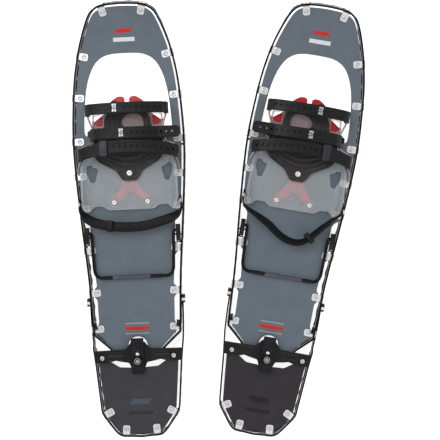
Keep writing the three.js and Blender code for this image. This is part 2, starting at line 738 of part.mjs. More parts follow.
// ---- heel strap ----
// Each point is [x, station, z, lean], where lean turns the strap from upright (0) to lying flat (1).
const HEEL_TAUT = [
  [-88, 344, 39, 0], [-88, 356, 39, 0], [-85, 368, 40, 0.25], [-73, 382, 40, 0.7], [-50, 391, 40, 0.9],
  [-20, 396, 40, 0.95], [20, 396, 40, 0.95], [55, 388, 40, 0.9], [77, 380, 40, 0.6],
  [87, 369, 40, 0.2], [88, 358, 39, 0], [88, 344, 39, 0],
];
const HEEL_SLACK = [
  [-88, 344, 39, 0], [-88, 356, 39, 0], [-83, 370, 40, 0.2], [-66, 384, 41, 0.5], [-42, 402, 41, 0.7],
  [-17, 421, 40, 0.85], [6, 427, 40, 0.9], [26, 420, 40, 0.8], [50, 397, 41, 0.7],
  [76, 379, 41, 0.5], [87, 368, 40, 0.2], [88, 356, 39, 0], [88, 344, 39, 0],
];
const HEEL_WIDTH = 17;
const KEEPER_X = -37;

function heelStrap(path) {
  const middle = new THREE.Vector3(0, yAt(330), 0);
  const side = (i) => {
    const [x, station, , lean] = path[i];
    const away = new THREE.Vector3(x, yAt(station), 0).sub(middle).normalize();
    return away.multiplyScalar(lean).addScaledVector(UPWARDS, 1 - lean);
  };
  return sweep(path.map((p) => p.slice(0, 3)), strapSection(HEEL_WIDTH, STRAP_WALL), side);
}

// The keeper is a flat loop round the heel strap, at the place on its path nearest to x.
function heelKeeper(path, x) {
  const k = path.findIndex((p, i) => i > 0 && (path[i - 1][0] - x) * (p[0] - x) <= 0);
  const share = (x - path[k - 1][0]) / (path[k][0] - path[k - 1][0]);
  const at = path[k - 1].map((value, i) => value + share * (path[k][i] - value));
  const along = Math.atan2(yAt(path[k][1]) - yAt(path[k - 1][1]), path[k][0] - path[k - 1][0]);
  const outer = new THREE.BoxGeometry(9, HEEL_WIDTH + 5, STRAP_WALL * 4 + 4);
  const inner = new THREE.BoxGeometry(20, HEEL_WIDTH + 1.4, STRAP_WALL * 4 + 0.6);
  return cut(outer, [inner]).rotateZ(along).translate(at[0], yAt(at[1]), at[2]);
}

// ---- tail ----
const ARM_REAR = 606; // in front of here the tail's rail is a plain arm inside the main rail
const ARM_LOW = 3;
const TAIL_STOPS = stopsAlong(TAIL_HALF, (y, valley) =>
  y > yAt(ARM_REAR) ? { low: ARM_LOW, high: BAR_END_TOP } : { low: valley, high: RAIL_TOP },
);

// The lug at the front of each arm stands beside the main rail.
const LUG_X = 84.5;
const LUG_STATION = 528;

function tailFrame() {
  const left = TAIL_STOPS.map(mirroredStop);
  const right = TAIL_STOPS.slice(0, -1).reverse();
  const wall = loft([...left, ...right].map(wallRing));
  const lugs = [1, -1].map((side) => box(side * LUG_X, LUG_STATION, 13.5, 5.8, 14, 21));
  return cut(join([wall, ...lugs]), clipOpenings(TAIL_STOPS, TAIL_CLIPS));
}

function tailSheet() {
  const cloth = sheet(
    outlineFrom([
      [0, 647], [17, 646], [34, 645], [48, 635.5], [70.6, 635.5], [68.2, 665], [65.6, 694], [63.4, 719],
      [56, 733.5], [41, 754.5], [34, 761.5], [0, 764],
    ]),
    DECK_LOW,
    DECK_TOP - DECK_LOW,
  );
  return join([cloth, ...onBothSides(TAIL_STOPS, TAIL_CLIPS, clip)]);
}

const SCREW = [63, 626];
const SCREW_SHANK = 1.7; // radius

function tailCrossbar() {
  const bar = sheet(
    outlineFrom([
      [0, 599], [12, 600], [22, 613], [77.8, 613.5], [76.4, 635], [50, 634.5],
      [40, 631.5], [28, 634], [16, 636], [12, 646], [0, 646],
    ]),
    TAIL_SEAT,
    TAIL_BAR_TOP - TAIL_SEAT,
  );
  const ends = [1, -1].map((side) => box(side * 65.9, 626, 18, 15, 18, 20));
  const screwBores = [1, -1].map((side) =>
    post(side * SCREW[0], SCREW[1], 10, 40, SCREW_SHANK + GAP + 0.1),
  );
  return cut(join([bar, ...ends]), screwBores);
}

function tailScrew(side) {
  const head = TAIL_BAR_TOP + GAP;
  const profile = [
    [0, 12], [SCREW_SHANK, 12], [SCREW_SHANK, head], [3.2, head], [2.9, head + 1.2], [0, head + 1.4],
  ];
  return turned(profile, side * SCREW[0], SCREW[1], 8);
}

const CLIP_SEAT = TAIL_BAR_TOP + GAP;
const CLIP_HEIGHT = 5;
const KNOB_SHANK = 3.7; // radius
const KNOB_RADIUS = 9;

function tailClip() {
  const outline = outlineFrom([[0, 593], [10, 593], [11, 595], [11, 654], [9, 656], [0, 656]]);
  const body = sheet(outline, CLIP_SEAT, CLIP_HEIGHT);
  return cut(body, [post(0, KNOB_STATION, CLIP_SEAT - 2, CLIP_SEAT + 8, KNOB_SHANK + 1.1)]);
}

function tailKnob() {
  const foot = CLIP_SEAT + GAP;
  const seat = CLIP_SEAT + CLIP_HEIGHT + GAP;
  const profile = [
    [0, foot], [KNOB_SHANK, foot], [KNOB_SHANK, seat], [KNOB_RADIUS, seat],
    [KNOB_RADIUS, seat + 5], [KNOB_RADIUS - 1.5, seat + 6.5], [0, seat + 6.5],
  ];
  return turned(profile, 0, KNOB_STATION, 12);
}

// ---- assembly ----
function shoe(name, heelPath, keeperX) {
  const group = new THREE.Group();
  const add = (part, geometry, material) => {
    const mesh = new THREE.Mesh(geometryOf(solid(geometry)), material);
    mesh.name = `${name}_${part}`;
    group.add(mesh);
  };
  add("frame_rail", frameRail(), MATERIALS.rail);
  add("deck", deck(), MATERIALS.deck);
  add("front_crossbar", frontCrossbar(), MATERIALS.rail);
  add("rear_crossbar", rearCrossbar(), MATERIALS.rail);
  add("pivot_axle", pivotAxle(), MATERIALS.steel);
  add("lifter_bracket_inner", lifterBracket(1), MATERIALS.moulding);
  add("lifter_bracket_outer", lifterBracket(-1), MATERIALS.moulding);
  add("heel_lifter", heelLifter(), MATERIALS.rail);
  add("lifter_sleeve", lifterSleeve(), MATERIALS.sleeve);
  add("crampon", crampon(), MATERIALS.crampon);
  add("base_plate", basePlate(), MATERIALS.plate);
  add("forefoot_pad", forefootPad(), MATERIALS.elastomer);
  add("pad_rivet", padRivet(), MATERIALS.steel);
  add("side_wire_inner", sideWire(1), MATERIALS.steel);
  add("side_wire_outer", sideWire(-1), MATERIALS.steel);
  for (const [kind, sizes] of Object.entries(STRAPS)) {
    add(`${kind}_strap`, strap(sizes), MATERIALS.elastomer);
    add(`${kind}_buckle`, buckle(sizes), MATERIALS.steel);
  }
  add("heel_strap", heelStrap(heelPath), MATERIALS.elastomer);
  add("heel_keeper", heelKeeper(heelPath, keeperX), MATERIALS.moulding);
  add("tail_frame", tailFrame(), MATERIALS.rail);
  add("tail_sheet", tailSheet(), MATERIALS.tail);
  add("tail_crossbar", tailCrossbar(), MATERIALS.moulding);
  add("tail_screw_inner", tailScrew(1), MATERIALS.steel);
  add("tail_screw_outer", tailScrew(-1), MATERIALS.steel);
  add("tail_clip", tailClip(), MATERIALS.moulding);
  add("tail_knob", tailKnob(), MATERIALS.moulding);
  return group;
}

function place(group, { x, y, yaw }) {
  group.position.set(x, y, 0);
  group.rotation.z = THREE.MathUtils.degToRad(yaw);
}

const left = shoe("left", HEEL_TAUT, KEEPER_X);
place(left, LEFT_PLACE);
const right = shoe("right", HEEL_SLACK, KEEPER_X);
right.scale.x = -1;
place(right, RIGHT_PLACE);

const snowshoes = new THREE.Group();
snowshoes.add(left, right);

// the origin is the middle of the pair's footprint, on the ground
const bounds = new THREE.Box3().setFromObject(snowshoes, true);
const middle = bounds.getCenter(new THREE.Vector3());
for (const group of [left, right]) {
  group.position.x -= middle.x;
  group.position.y -= middle.y;
  group.position.z -= bounds.min.z;
}

export default snowshoes;
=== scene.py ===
"""A pair of mountain snowshoes with flotation tails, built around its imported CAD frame.

Each shoe's pieces are made in millimetres in the shoe's own frame, and the right shoe is the mirror image.
x = 0 is the centre line with +X towards the wearer's inner side, y = 0 the mid-length with +Y towards the
toe, z = 0 the ground. "Station" is the distance back from the toe. The side with the buckles is the outer
one, with negative x. Only the heel strap's curve and the tail's marks differ between the two shoes.
"""
import json
import math

import bpy
import numpy as np
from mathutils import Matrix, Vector
from mathutils.geometry import delaunay_2d_cdt


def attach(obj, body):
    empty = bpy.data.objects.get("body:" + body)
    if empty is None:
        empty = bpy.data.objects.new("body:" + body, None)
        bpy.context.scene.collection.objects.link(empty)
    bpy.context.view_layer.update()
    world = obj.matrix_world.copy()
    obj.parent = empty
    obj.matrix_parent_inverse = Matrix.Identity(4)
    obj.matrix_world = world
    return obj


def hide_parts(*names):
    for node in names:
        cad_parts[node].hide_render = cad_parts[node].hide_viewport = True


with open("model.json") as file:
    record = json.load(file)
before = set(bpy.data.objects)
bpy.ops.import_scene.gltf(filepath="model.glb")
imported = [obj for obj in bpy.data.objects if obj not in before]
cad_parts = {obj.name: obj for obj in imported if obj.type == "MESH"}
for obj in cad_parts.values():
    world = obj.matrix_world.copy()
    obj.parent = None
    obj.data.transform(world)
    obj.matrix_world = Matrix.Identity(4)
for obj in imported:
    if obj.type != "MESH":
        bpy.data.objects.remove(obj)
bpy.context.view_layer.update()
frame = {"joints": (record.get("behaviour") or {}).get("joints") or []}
SIDES = (("inner", 1), ("outer", -1))

# ---- driving dimensions, in millimetres ----
SHOE_LENGTH = 770.0
RAIL_TOP = 26.0
RAIL_WALL = 2.6
MAIN_WALL = 3.3
RAIL_BAND_LOW = 19.0
WINDOW_LOW = 9.5
TOOTH_DEPTH = 7.0
TOOTH_PITCH = 24.0
DECK_LOW = 22.0
DECK_TOP = 23.2
DECK_INSET = 6.3
BEND_STATION = 118.0
BEND_RADIUS = 260.0
BEND_LEVEL = 24.0
AXLE_STATION = 230.0
AXLE_HEIGHT = 16.0
PLATE_LOW = 26.6
PLATE_WALL = 2.6
PLATE_TOP = PLATE_LOW + PLATE_WALL
PAD_LOW = PLATE_TOP + 0.4
PAD_TOP = PAD_LOW + 3.4
CRAMPON_LOW = 24.0
CRAMPON_WALL = 2.0
LIFTER_STATION = 405.0
LIFTER_HEIGHT = 29.6
LIFTER_REACH = 80.0
LIFTER_WIRE = 2.75
TAIL_SEAT = 26.8
TAIL_BAR_TOP = 31.5
KNOB_STATION = 632.0
MM = 0.001

JOINTS = {joint["name"]: joint for joint in frame["joints"]}


def y_at(station):
    """y of a station, and as well the station of a y."""
    return SHOE_LENGTH / 2 - station


class Shoe:
    """Where one shoe lies, read from its binding pivot."""

    def __init__(self, side):
        pivot = JOINTS[side + "_binding_pivot"]
        self.side = side
        self.mirror = 1.0 if side == "left" else -1.0
        self.right = -Vector(pivot["axis"]).normalized()
        self.ahead = Vector((-self.right.y, self.right.x, 0.0))
        up = Vector((0.0, 0.0, 1.0))
        pin = Vector(pivot["pos_m"])
        self.origin = pin - self.ahead * y_at(AXLE_STATION) * MM - up * AXLE_HEIGHT * MM

    def place(self, points):
        local = np.asarray(points, dtype=float) * MM
        right = np.array(self.right) * self.mirror
        ahead = np.array(self.ahead)
        up = np.array((0.0, 0.0, 1.0))
        x, y, z = local.T[:, :, None]
        return np.array(self.origin) + x * right + y * ahead + z * up


SHOES = [Shoe("left"), Shoe("right")]


# ---- curves and outlines ----
def spline(points, per_span):
    """A uniform Catmull-Rom curve through 2D or 3D points."""
    p = np.asarray(points, dtype=float)
    out = []
    for i in range(len(p) - 1):
        p0, p1, p2 = p[max(i - 1, 0)], p[i], p[i + 1]
        p3 = p[min(i + 2, len(p) - 1)]
        for k in range(per_span):
            t = k / per_span
            a = (p2 - p0) * 0.5
            b = (p3 - p1) * 0.5
            cubic = 2 * p1 - 2 * p2 + a + b
            square = -3 * p1 + 3 * p2 - 2 * a - b
            out.append(cubic * t**3 + square * t**2 + a * t + p1)
    out.append(p[-1])
    return np.array(out)


def lengths(points):
    steps = np.linalg.norm(np.diff(points, axis=0), axis=1)
    return np.concatenate([[0.0], np.cumsum(steps)])


def at_lengths(points, s):
    """The points at distances s along a polyline."""
    total = lengths(points)
    return np.stack([np.interp(s, total, points[:, k]) for k in range(points.shape[1])], axis=1)


def spaced(points, step):
    total = lengths(points)[-1]
    count = max(2, int(round(total / step)) + 1)
    return at_lengths(points, np.linspace(0, total, count))


def corner_curve(start, corner, end, steps):
    """Points of the quadratic curve that replaces a corner."""
    shares = [k / steps for k in range(steps + 1)]
    return [(1 - t) ** 2 * start + 2 * t * (1 - t) * corner + t**2 * end for t in shares]


def rounded(points, radius, steps):
    """A closed outline with each corner replaced by a smooth stretch, at most radius from the corner."""
    p = [np.array(q, dtype=float) for q in points]
    radii = radius if isinstance(radius, (list, tuple)) else [radius] * len(p)
    out = []
    for i, corner in enumerate(p):
        before, after = p[i - 1] - corner, p[(i + 1) % len(p)] - corner
        reach = min(radii[i], 0.49 * np.linalg.norm(before), 0.49 * np.linalg.norm(after))
        if reach < 0.05:
            out.append(corner)
            continue
        a = corner + before / np.linalg.norm(before) * reach
        b = corner + after / np.linalg.norm(after) * reach
        out += corner_curve(a, corner, b, steps)
    return np.array(out)


def box(x_low, x_high, y_low, y_high, radius, steps):
    """A rectangle's outline with rounded corners."""
    corners = [(x_low, y_low), (x_high, y_low), (x_high, y_high), (x_low, y_high)]
    return rounded(corners, radius, steps)


def rectangle(width, length, radius, steps=4):
    return box(-width / 2, width / 2, -length / 2, length / 2, radius, steps)


def mirrored(half):
    """A closed outline from its right half, given from the front centre to the rear centre."""
    p = np.asarray(half, dtype=float)
    inner = p[p[:, 0] > 1e-6]
    left = inner[::-1] * np.array([-1.0, 1.0])
    return np.concatenate([p, left])


def from_stations(points):
    """[x, station] points as [x, y]."""
    p = np.asarray(points, dtype=float).copy()
    p[:, 1] = y_at(p[:, 1])
    return p


def circle(x, y, radius, count):
    angles = np.linspace(0, 2 * math.pi, count, endpoint=False)
    return np.stack([x + radius * np.cos(angles), y + radius * np.sin(angles)], axis=1)


def rising(value, start, length):
    """0 before start, 1 from a length past it."""
    return np.clip((value - start) / length, 0, 1)


def within(value, start, stop, ease):
    """1 between start and stop, easing to 0 at both."""
    return rising(value, start, ease) * rising(-value, -stop, ease)


def ridge(value, middle, width):
    return np.exp(-(((value - middle) / width) ** 2))


def inside(points, outline):
    """Which points lie inside a closed outline."""
    x, y = points[:, 0], points[:, 1]
    result = np.zeros(len(points), dtype=bool)
    ax, ay = outline[:, 0], outline[:, 1]
    bx, by = np.roll(ax, -1), np.roll(ay, -1)
    for i in range(len(outline)):
        crosses = (ay[i] > y) != (by[i] > y)
        slope = (bx[i] - ax[i]) / (by[i] - ay[i] + 1e-12)
        result ^= crosses & (x < ax[i] + slope * (y - ay[i]))
    return result


# ---- meshes: lists of points, faces and a flat coordinate for the materials ----
class Shape:
    def __init__(self, points, faces, flat=None):
        self.points = np.asarray(points, dtype=float)
        self.faces = [tuple(int(i) for i in face) for face in faces]
        self.flat = self.points[:, :2].copy() if flat is None else np.asarray(flat, dtype=float)

    def moved(self, warp):
        return Shape(warp(self.points), self.faces, self.flat)

    def turned(self, matrix, offset):
        return Shape(self.points @ np.asarray(matrix).T + np.asarray(offset), self.faces, self.flat)

    def shifted(self, x, y, z):
        return Shape(self.points + np.array([x, y, z]), self.faces, self.flat)

    def on_side(self, side):
        """The shape for side 1, its mirror image across the centre line for side -1."""
        faces = self.faces if side > 0 else [face[::-1] for face in self.faces]
        return Shape(self.points @ np.diag([side, 1.0, 1.0]), faces, self.flat)


def together(shapes):
    points, faces, flat, base = [], [], [], 0
    for shape in shapes:
        points.append(shape.points)
        flat.append(shape.flat)
        faces += [tuple(i + base for i in face) for face in shape.faces]
        base += len(shape.points)
    return Shape(np.concatenate(points), faces, np.concatenate(flat))


def dense(outline, step):
    """A closed outline with long edges split."""
    out = []
    for i, a in enumerate(outline):
        b = outline[(i + 1) % len(outline)]
        parts = max(1, int(math.ceil(np.linalg.norm(b - a) / step)))
        out += [a + (b - a) * k / parts for k in range(parts)]
    return np.array(out)


def without_repeats(outline):
    keep = [p for i, p in enumerate(outline) if np.linalg.norm(p - outline[i - 1]) > 0.02]
    return np.array(keep)


def slab(outline, holes, low, high, spacing=None, edge_step=None, warp=None):
    """A sheet of even thickness with holes, cut to flat outlines, then moved by warp(points)."""
    loops = [without_repeats(np.asarray(loop, dtype=float)) for loop in [outline, *holes]]
    if edge_step:
        loops = [dense(loop, edge_step) for loop in loops]
    flat = [p for loop in loops for p in loop]
    edges, start = [], 0
    for loop in loops:
        n = len(loop)
        edges += [(start + i, start + (i + 1) % n) for i in range(n)]
        start += n
    if spacing:
        lowest, highest = loops[0].min(0), loops[0].max(0)
        columns = np.arange(lowest[0] + spacing / 2, highest[0], spacing)
        rows = np.arange(lowest[1] + spacing / 2, highest[1], spacing)
        grid = np.array([(x, y) for y in rows for x in columns])
        if len(grid):
            keep = inside(grid, loops[0])
            for loop in loops[1:]:
                keep &= ~inside(grid, loop)
            border = np.array(flat)
            grid = grid[keep]
            if len(grid):
                gap = np.array([np.min(np.sum((border - g) ** 2, axis=1)) for g in grid])
                flat += list(grid[gap > (0.45 * spacing) ** 2])
    made = delaunay_2d_cdt([Vector(p) for p in flat], edges, [], 0, 1e-5)
    points = np.array([tuple(v) for v in made[0]])
    triangles = np.array([tuple(face) for face in made[2]])
    centres = points[triangles].mean(axis=1)
    keep = inside(centres, loops[0])
    for loop in loops[1:]:
        keep &= ~inside(centres, loop)
    triangles = triangles[keep]
    a, b, c = (points[triangles[:, k]] for k in range(3))
    turn = (b[:, 0] - a[:, 0]) * (c[:, 1] - a[:, 1]) - (b[:, 1] - a[:, 1]) * (c[:, 0] - a[:, 0])
    triangles[turn < 0] = triangles[turn < 0][:, ::-1]
    count = len(points)
    top = np.column_stack([points, np.full(count, high)])
    bottom = np.column_stack([points, np.full(count, low)])
    faces = [tuple(t) for t in triangles] + [tuple(t[::-1] + count) for t in triangles]
    directed = {}
    for t in triangles:
        for k in range(3):
            directed[(t[k], t[(k + 1) % 3])] = True
    for i, j in directed:
        if (j, i) not in directed:
            faces.append((i, i + count, j + count, j))
    shape = Shape(np.concatenate([top, bottom]), faces, np.concatenate([points, points]))
    return shape.moved(warp) if warp else shape


def rings(loops, closed=False):
    """A skin over rings of points, capped at both ends unless its last ring joins its first."""
    count = len(loops[0])
    faces = []
    last = len(loops) if closed else len(loops) - 1
    for r in range(last):
        for k in range(count):
            a, b = r * count + k, r * count + (k + 1) % count
            ahead = ((r + 1) % len(loops)) * count
            faces.append((a, b, ahead + (k + 1) % count, ahead + k))
    if not closed:
        faces.append(tuple(range(count))[::-1])
        base = (len(loops) - 1) * count
        faces.append(tuple(base + k for k in range(count)))
    return Shape(np.concatenate(loops), faces)


def frames_along(path, sides, closed=False):
    """Unit vectors across and up at each point of a path."""
    if closed:
        along = np.roll(path, -1, axis=0) - np.roll(path, 1, axis=0)
    else:
        along = np.gradient(path, axis=0)
    along /= np.linalg.norm(along, axis=1)[:, None]
    across = np.asarray(sides, dtype=float)
    if across.ndim == 1:
        across = np.tile(across, (len(path), 1))
    across = across - along * np.sum(across * along, axis=1)[:, None]
    across /= np.linalg.norm(across, axis=1)[:, None]
    return across, np.cross(along, across)


def tube(path, radius, sides, count, closed=False):
    path = np.asarray(path, dtype=float)
    angles = np.linspace(0, 2 * math.pi, count, endpoint=False)[:, None]
    frames = zip(path, *frames_along(path, sides, closed))
    loops = [p + radius * (np.cos(angles) * across + np.sin(angles) * up) for p, across, up in frames]
    return rings(loops, closed)


def turned(profile, count, centre=(0, 0, 0), axis="z"):
    """A turned piece from [radius, height] points that start and end on the axis."""
    angles = np.linspace(0, 2 * math.pi, count, endpoint=False)
    points, faces, loops = [], [], []
    for radius, height in profile:
        if radius < 1e-6:
            loops.append([len(points)])
            points.append((0.0, 0.0, height))
        else:
            loops.append(list(range(len(points), len(points) + count)))
            points += [(radius * math.cos(a), radius * math.sin(a), height) for a in angles]
    pairs = list(zip(loops, loops[1:]))
    if len(loops[0]) > 1:
        pairs.append((loops[-1], loops[0]))
    for low, high in pairs:
        for k in range(count):
            n = (k + 1) % count
            if len(low) == 1 and len(high) > 1:
                faces.append((low[0], high[n], high[k]))
            elif len(high) == 1 and len(low) > 1:
                faces.append((low[k], low[n], high[0]))
            elif len(low) > 1:
                faces.append((low[k], low[n], high[n], high[k]))
    p = np.array(points)
    if axis == "x":
        p = p[:, [2, 0, 1]]
    return Shape(p + np.array(centre), faces)


def bent_toe(points):
    """Turns up the toe of the frame in front of BEND_STATION, on a circular arc."""
    p = np.array(points, dtype=float)
    start = y_at(BEND_STATION)
    ahead = np.maximum(p[:, 1] - start, 0)
    radius = BEND_RADIUS + BEND_LEVEL - p[:, 2]
    front = ahead > 0
    angle = ahead / BEND_RADIUS
    p[front, 1] = (start + radius * np.sin(angle))[front]
    p[front, 2] = (BEND_RADIUS + BEND_LEVEL - radius * np.cos(angle))[front]
    return p


# ---- procedural materials ----
SPECULAR = 0.3


def hexed(red, green, blue):
    """An 0-255 display colour as linear light."""
    return tuple(
        c / 255 / 12.92 if c / 255 <= 0.04045 else ((c / 255 + 0.055) / 1.055) ** 2.4
        for c in (red, green, blue)
    ) + (1.0,)


class Nodes:
    """A thin layer over a material's node tree."""

    def __init__(self, name):
        self.material = bpy.data.materials.new(name)
        self.material.use_nodes = True
        self.tree = self.material.node_tree
        self.tree.nodes.clear()
        self.output = self.tree.nodes.new("ShaderNodeOutputMaterial")

    def add(self, kind, inputs=None, **settings):
        node = self.tree.nodes.new(kind)
        for key, value in settings.items():
            setattr(node, key, value)
        for key, value in (inputs or {}).items():
            socket = node.inputs[key]
            if isinstance(value, bpy.types.NodeSocket):
                self.tree.links.new(value, socket)
            else:
                socket.default_value = value
        return node

    def math(self, operation, a, b=0.0, clamp=False):
        inputs = {0: a, 1: b}
        return self.add("ShaderNodeMath", inputs, operation=operation, use_clamp=clamp).outputs[0]

    def noise(self, scale, detail, rough=0.55, stretch=None):
        vector = self.add("ShaderNodeTexCoord").outputs["Object"]
        if stretch:
            mapping = self.add("ShaderNodeMapping", {"Vector": vector, "Scale": stretch})
            vector = mapping.outputs["Vector"]
        inputs = {"Vector": vector, "Scale": scale, "Detail": detail, "Roughness": rough}
        return self.add("ShaderNodeTexNoise", inputs).outputs["Fac"]

    def flat(self):
        """The flat pattern's coordinates, in metres, as (u, v)."""
        uv = self.add("ShaderNodeUVMap", uv_map="flat").outputs["UV"]
        split = self.add("ShaderNodeSeparateXYZ", {"Vector": uv})
        return split.outputs["X"], split.outputs["Y"]

    def ramp(self, value, low, high, to_low=0.0, to_high=1.0):
        inputs = {"Value": value, "From Min": low, "From Max": high, "To Min": to_low, "To Max": to_high}
        return self.add("ShaderNodeMapRange", inputs).outputs["Result"]

    def mix(self, factor, a, b):
        # sockets 6 and 7 and output 2 are the node's colours
        return self.add("ShaderNodeMix", {0: factor, 6: a, 7: b}, data_type="RGBA").outputs[2]

    def bump(self, height, strength, distance, normal=None):
        inputs = {"Height": height, "Strength": strength, "Distance": distance}
        if normal is not None:
            inputs["Normal"] = normal
        return self.add("ShaderNodeBump", inputs).outputs["Normal"]

    def bevel_mask(self, radius):
        """1 along sharp edges, 0 on flat faces."""
        rounded_normal = self.add("ShaderNodeBevel", {"Radius": radius}, samples=4).outputs["Normal"]
        plain = self.add("ShaderNodeNewGeometry").outputs["Normal"]
        normals = {0: rounded_normal, 1: plain}
        product = self.add("ShaderNodeVectorMath", normals, operation="DOT_PRODUCT")
        return self.ramp(product.outputs["Value"], 0.985, 0.9)

    def painted_shade_mask(self, distance):
        """Painted-shade mask from ambient occlusion: 1 in hollows and where a face meets another piece, 0 in
        the open.
        """
        node = self.add("ShaderNodeAmbientOcclusion", {"Distance": distance}, samples=6)
        return self.ramp(node.outputs["AO"], 0.9, 0.5)

    def surface(self, **inputs):
        names = {
            "base": "Base Color",
            "metallic": "Metallic",
            "roughness": "Roughness",
            "normal": "Normal",
            "coat": "Coat Weight",
            "coat_roughness": "Coat Roughness",
            "sheen": "Sheen Weight",
        }
        sockets = {names[key]: value for key, value in inputs.items()}
        sockets["Specular IOR Level"] = SPECULAR
        return self.add("ShaderNodeBsdfPrincipled", sockets)

    def finish(self, shader):
        self.tree.links.new(shader.outputs[0], self.output.inputs["Surface"])
        return self.material


def worn(nodes, base, edge, amount, radius=0.0006):
    """The base colour with brighter, broken wear along edges."""
    broken = nodes.ramp(nodes.noise(260.0, 4.0), 0.42, 0.62)
    mask = nodes.math("MULTIPLY", nodes.bevel_mask(radius), broken)
    return nodes.mix(nodes.math("MULTIPLY", mask, amount), base, edge), mask


def coated_cloth(name, base, deep, marks):
    """Woven nylon under a urethane coat: a fine plain weave, faint mottling and printed bars."""
    n = Nodes(name)
    u, v = n.flat()
    pitch = 2 * math.pi / 0.0011
    warp = n.math("SINE", n.math("MULTIPLY", u, pitch))
    weft = n.math("SINE", n.math("MULTIPLY", v, pitch))
    weave = n.math("MULTIPLY", warp, weft)
    mottle = n.ramp(n.noise(38.0, 5.0), 0.3, 0.75)
    colour = n.mix(mottle, deep, base)
    threads = n.ramp(weave, -1.0, 1.0, 0.0, 0.16)
    colour = n.mix(threads, colour, deep)
    scuff = n.ramp(n.noise(140.0, 6.0, 0.7, stretch=(1.0, 0.25, 1.0)), 0.63, 0.74, 0.0, 0.08)
    colour = n.mix(scuff, colour, hexed(176, 182, 188))
    for centre_u, centre_v, half_u, half_v, lean, ink in marks:
        across = n.math("ADD", n.math("SUBTRACT", u, centre_u), n.math("MULTIPLY", v, lean))
        if lean:
            across = n.math("SUBTRACT", across, lean * centre_v)
        in_u = n.math("LESS_THAN", n.math("ABSOLUTE", across), half_u)
        in_v = n.math("LESS_THAN", n.math("ABSOLUTE", n.math("SUBTRACT", v, centre_v)), half_v)
        colour = n.mix(n.math("MULTIPLY", in_u, in_v), colour, ink)
    rough = n.ramp(n.noise(90.0, 4.0), 0.2, 0.8, 0.42, 0.6)
    normal = n.bump(weave, 0.22, 0.00012)
    normal = n.bump(n.noise(60.0, 3.0), 0.12, 0.0012, normal)
    shader = n.surface(base=colour, roughness=rough, normal=normal, coat=0.12, coat_roughness=0.35)
    return n.finish(shader)


def anodised(name, base, edge, roughness, metallic, amount):
    """Dark anodised metal with bare metal along its edges and scratches from rock."""
    n = Nodes(name)
    streak = n.noise(420.0, 5.0, 0.7, stretch=(1.0, 1.0, 0.08))
    scratch = n.ramp(streak, 0.66, 0.72, 0.0, 0.35)
    dull = tuple(c * 0.65 for c in base[:3]) + (1.0,)
    colour = n.mix(n.ramp(n.noise(70.0, 4.0), 0.3, 0.7), base, dull)
    colour, mask = worn(n, colour, edge, amount)
    colour = n.mix(scratch, colour, edge)
    grain = n.ramp(n.noise(180.0, 4.0), 0.2, 0.8, roughness - 0.06, roughness + 0.12)
    rough = n.math("SUBTRACT", grain, n.math("MULTIPLY", mask, 0.1))
    normal = n.bump(n.noise(900.0, 3.0), 0.1, 0.0002)
    normal = n.bump(streak, 0.05, 0.0002, normal)
    return n.finish(n.surface(base=colour, metallic=metallic, roughness=rough, normal=normal))


def bright_metal(name, base, roughness, grime, metallic):
    """Plated steel with fine brushing and a little dirt, with painted shade darkening its sharp edges, its
    hollows and where it meets other pieces.
    """
    n = Nodes(name)
    brushed = n.noise(700.0, 3.0, 0.6, stretch=(0.12, 1.0, 1.0))
    dirt = n.ramp(n.noise(95.0, 4.0, 0.6), 0.58, 0.78, 0.0, grime)
    colour = n.mix(dirt, base, hexed(120, 118, 116))
    # painted shade: sharp edges darkened, standing in for the dark shadow outline round each clip
    colour = n.mix(n.math("MULTIPLY", n.bevel_mask(0.0009), 0.85), colour, hexed(72, 71, 75))
    # painted shade: darker in hollows and where the steel meets another piece, from ambient occlusion
    colour = n.mix(n.painted_shade_mask(0.003), colour, hexed(40, 39, 44))
    grain = n.ramp(brushed, 0.2, 0.8, roughness - 0.08, roughness + 0.08)
    rough = n.math("ADD", grain, n.math("MULTIPLY", dirt, 0.4))
    normal = n.bump(brushed, 0.06, 0.00012)
    return n.finish(n.surface(base=colour, metallic=metallic, roughness=rough, normal=normal))


def painted(name, base, deep, painted_light_tint, painted_light_from, painted_light_to, bare):
    """Powder coat with slight orange peel, paler over one stretch of its length as painted light for the glow
    through the milky plate over it, with bare worn edges.
    """
    n = Nodes(name)
    colour = n.mix(n.ramp(n.noise(45.0, 4.0), 0.3, 0.7), base, deep)
    along = n.flat()[1]
    rear_end = n.ramp(along, painted_light_to, painted_light_to + 0.004)
    front_end = n.ramp(along, painted_light_from, painted_light_from - 0.012)
    stretch = n.math("MULTIPLY", rear_end, front_end)
    # painted light: paler over the stretch that lies under the milky plate
    colour = n.mix(stretch, colour, painted_light_tint)
    colour, mask = worn(n, colour, bare, 0.75, 0.0007)
    rough = n.ramp(n.noise(120.0, 4.0), 0.25, 0.75, 0.28, 0.42)
    normal = n.bump(n.noise(650.0, 2.0), 0.16, 0.0003)
    metallic = n.math("MULTIPLY", mask, 0.7)
    shader = n.surface(
        base=colour, metallic=metallic, roughness=rough, normal=normal, coat=0.3, coat_roughness=0.2
    )
    return n.finish(shader)


def rubbery(name, base, dusty, roughness, grain, dust):
    """Moulded elastomer or plastic: a fine pebbled grain, with dust and rub marks."""
    n = Nodes(name)
    dusted = n.ramp(n.noise(85.0, 6.0, 0.65), 0.5, 0.75, 0.0, dust)
    colour = n.mix(dusted, base, dusty)
    colour = n.mix(n.math("MULTIPLY", n.bevel_mask(0.0005), 0.3), colour, dusty)
    rough = n.ramp(n.noise(160.0, 4.0), 0.25, 0.75, roughness - 0.1, roughness + 0.1)
    normal = n.bump(n.noise(grain, 3.0, 0.6), 0.25, 0.00035)
    return n.finish(n.surface(base=colour, roughness=rough, normal=normal, sheen=0.0))


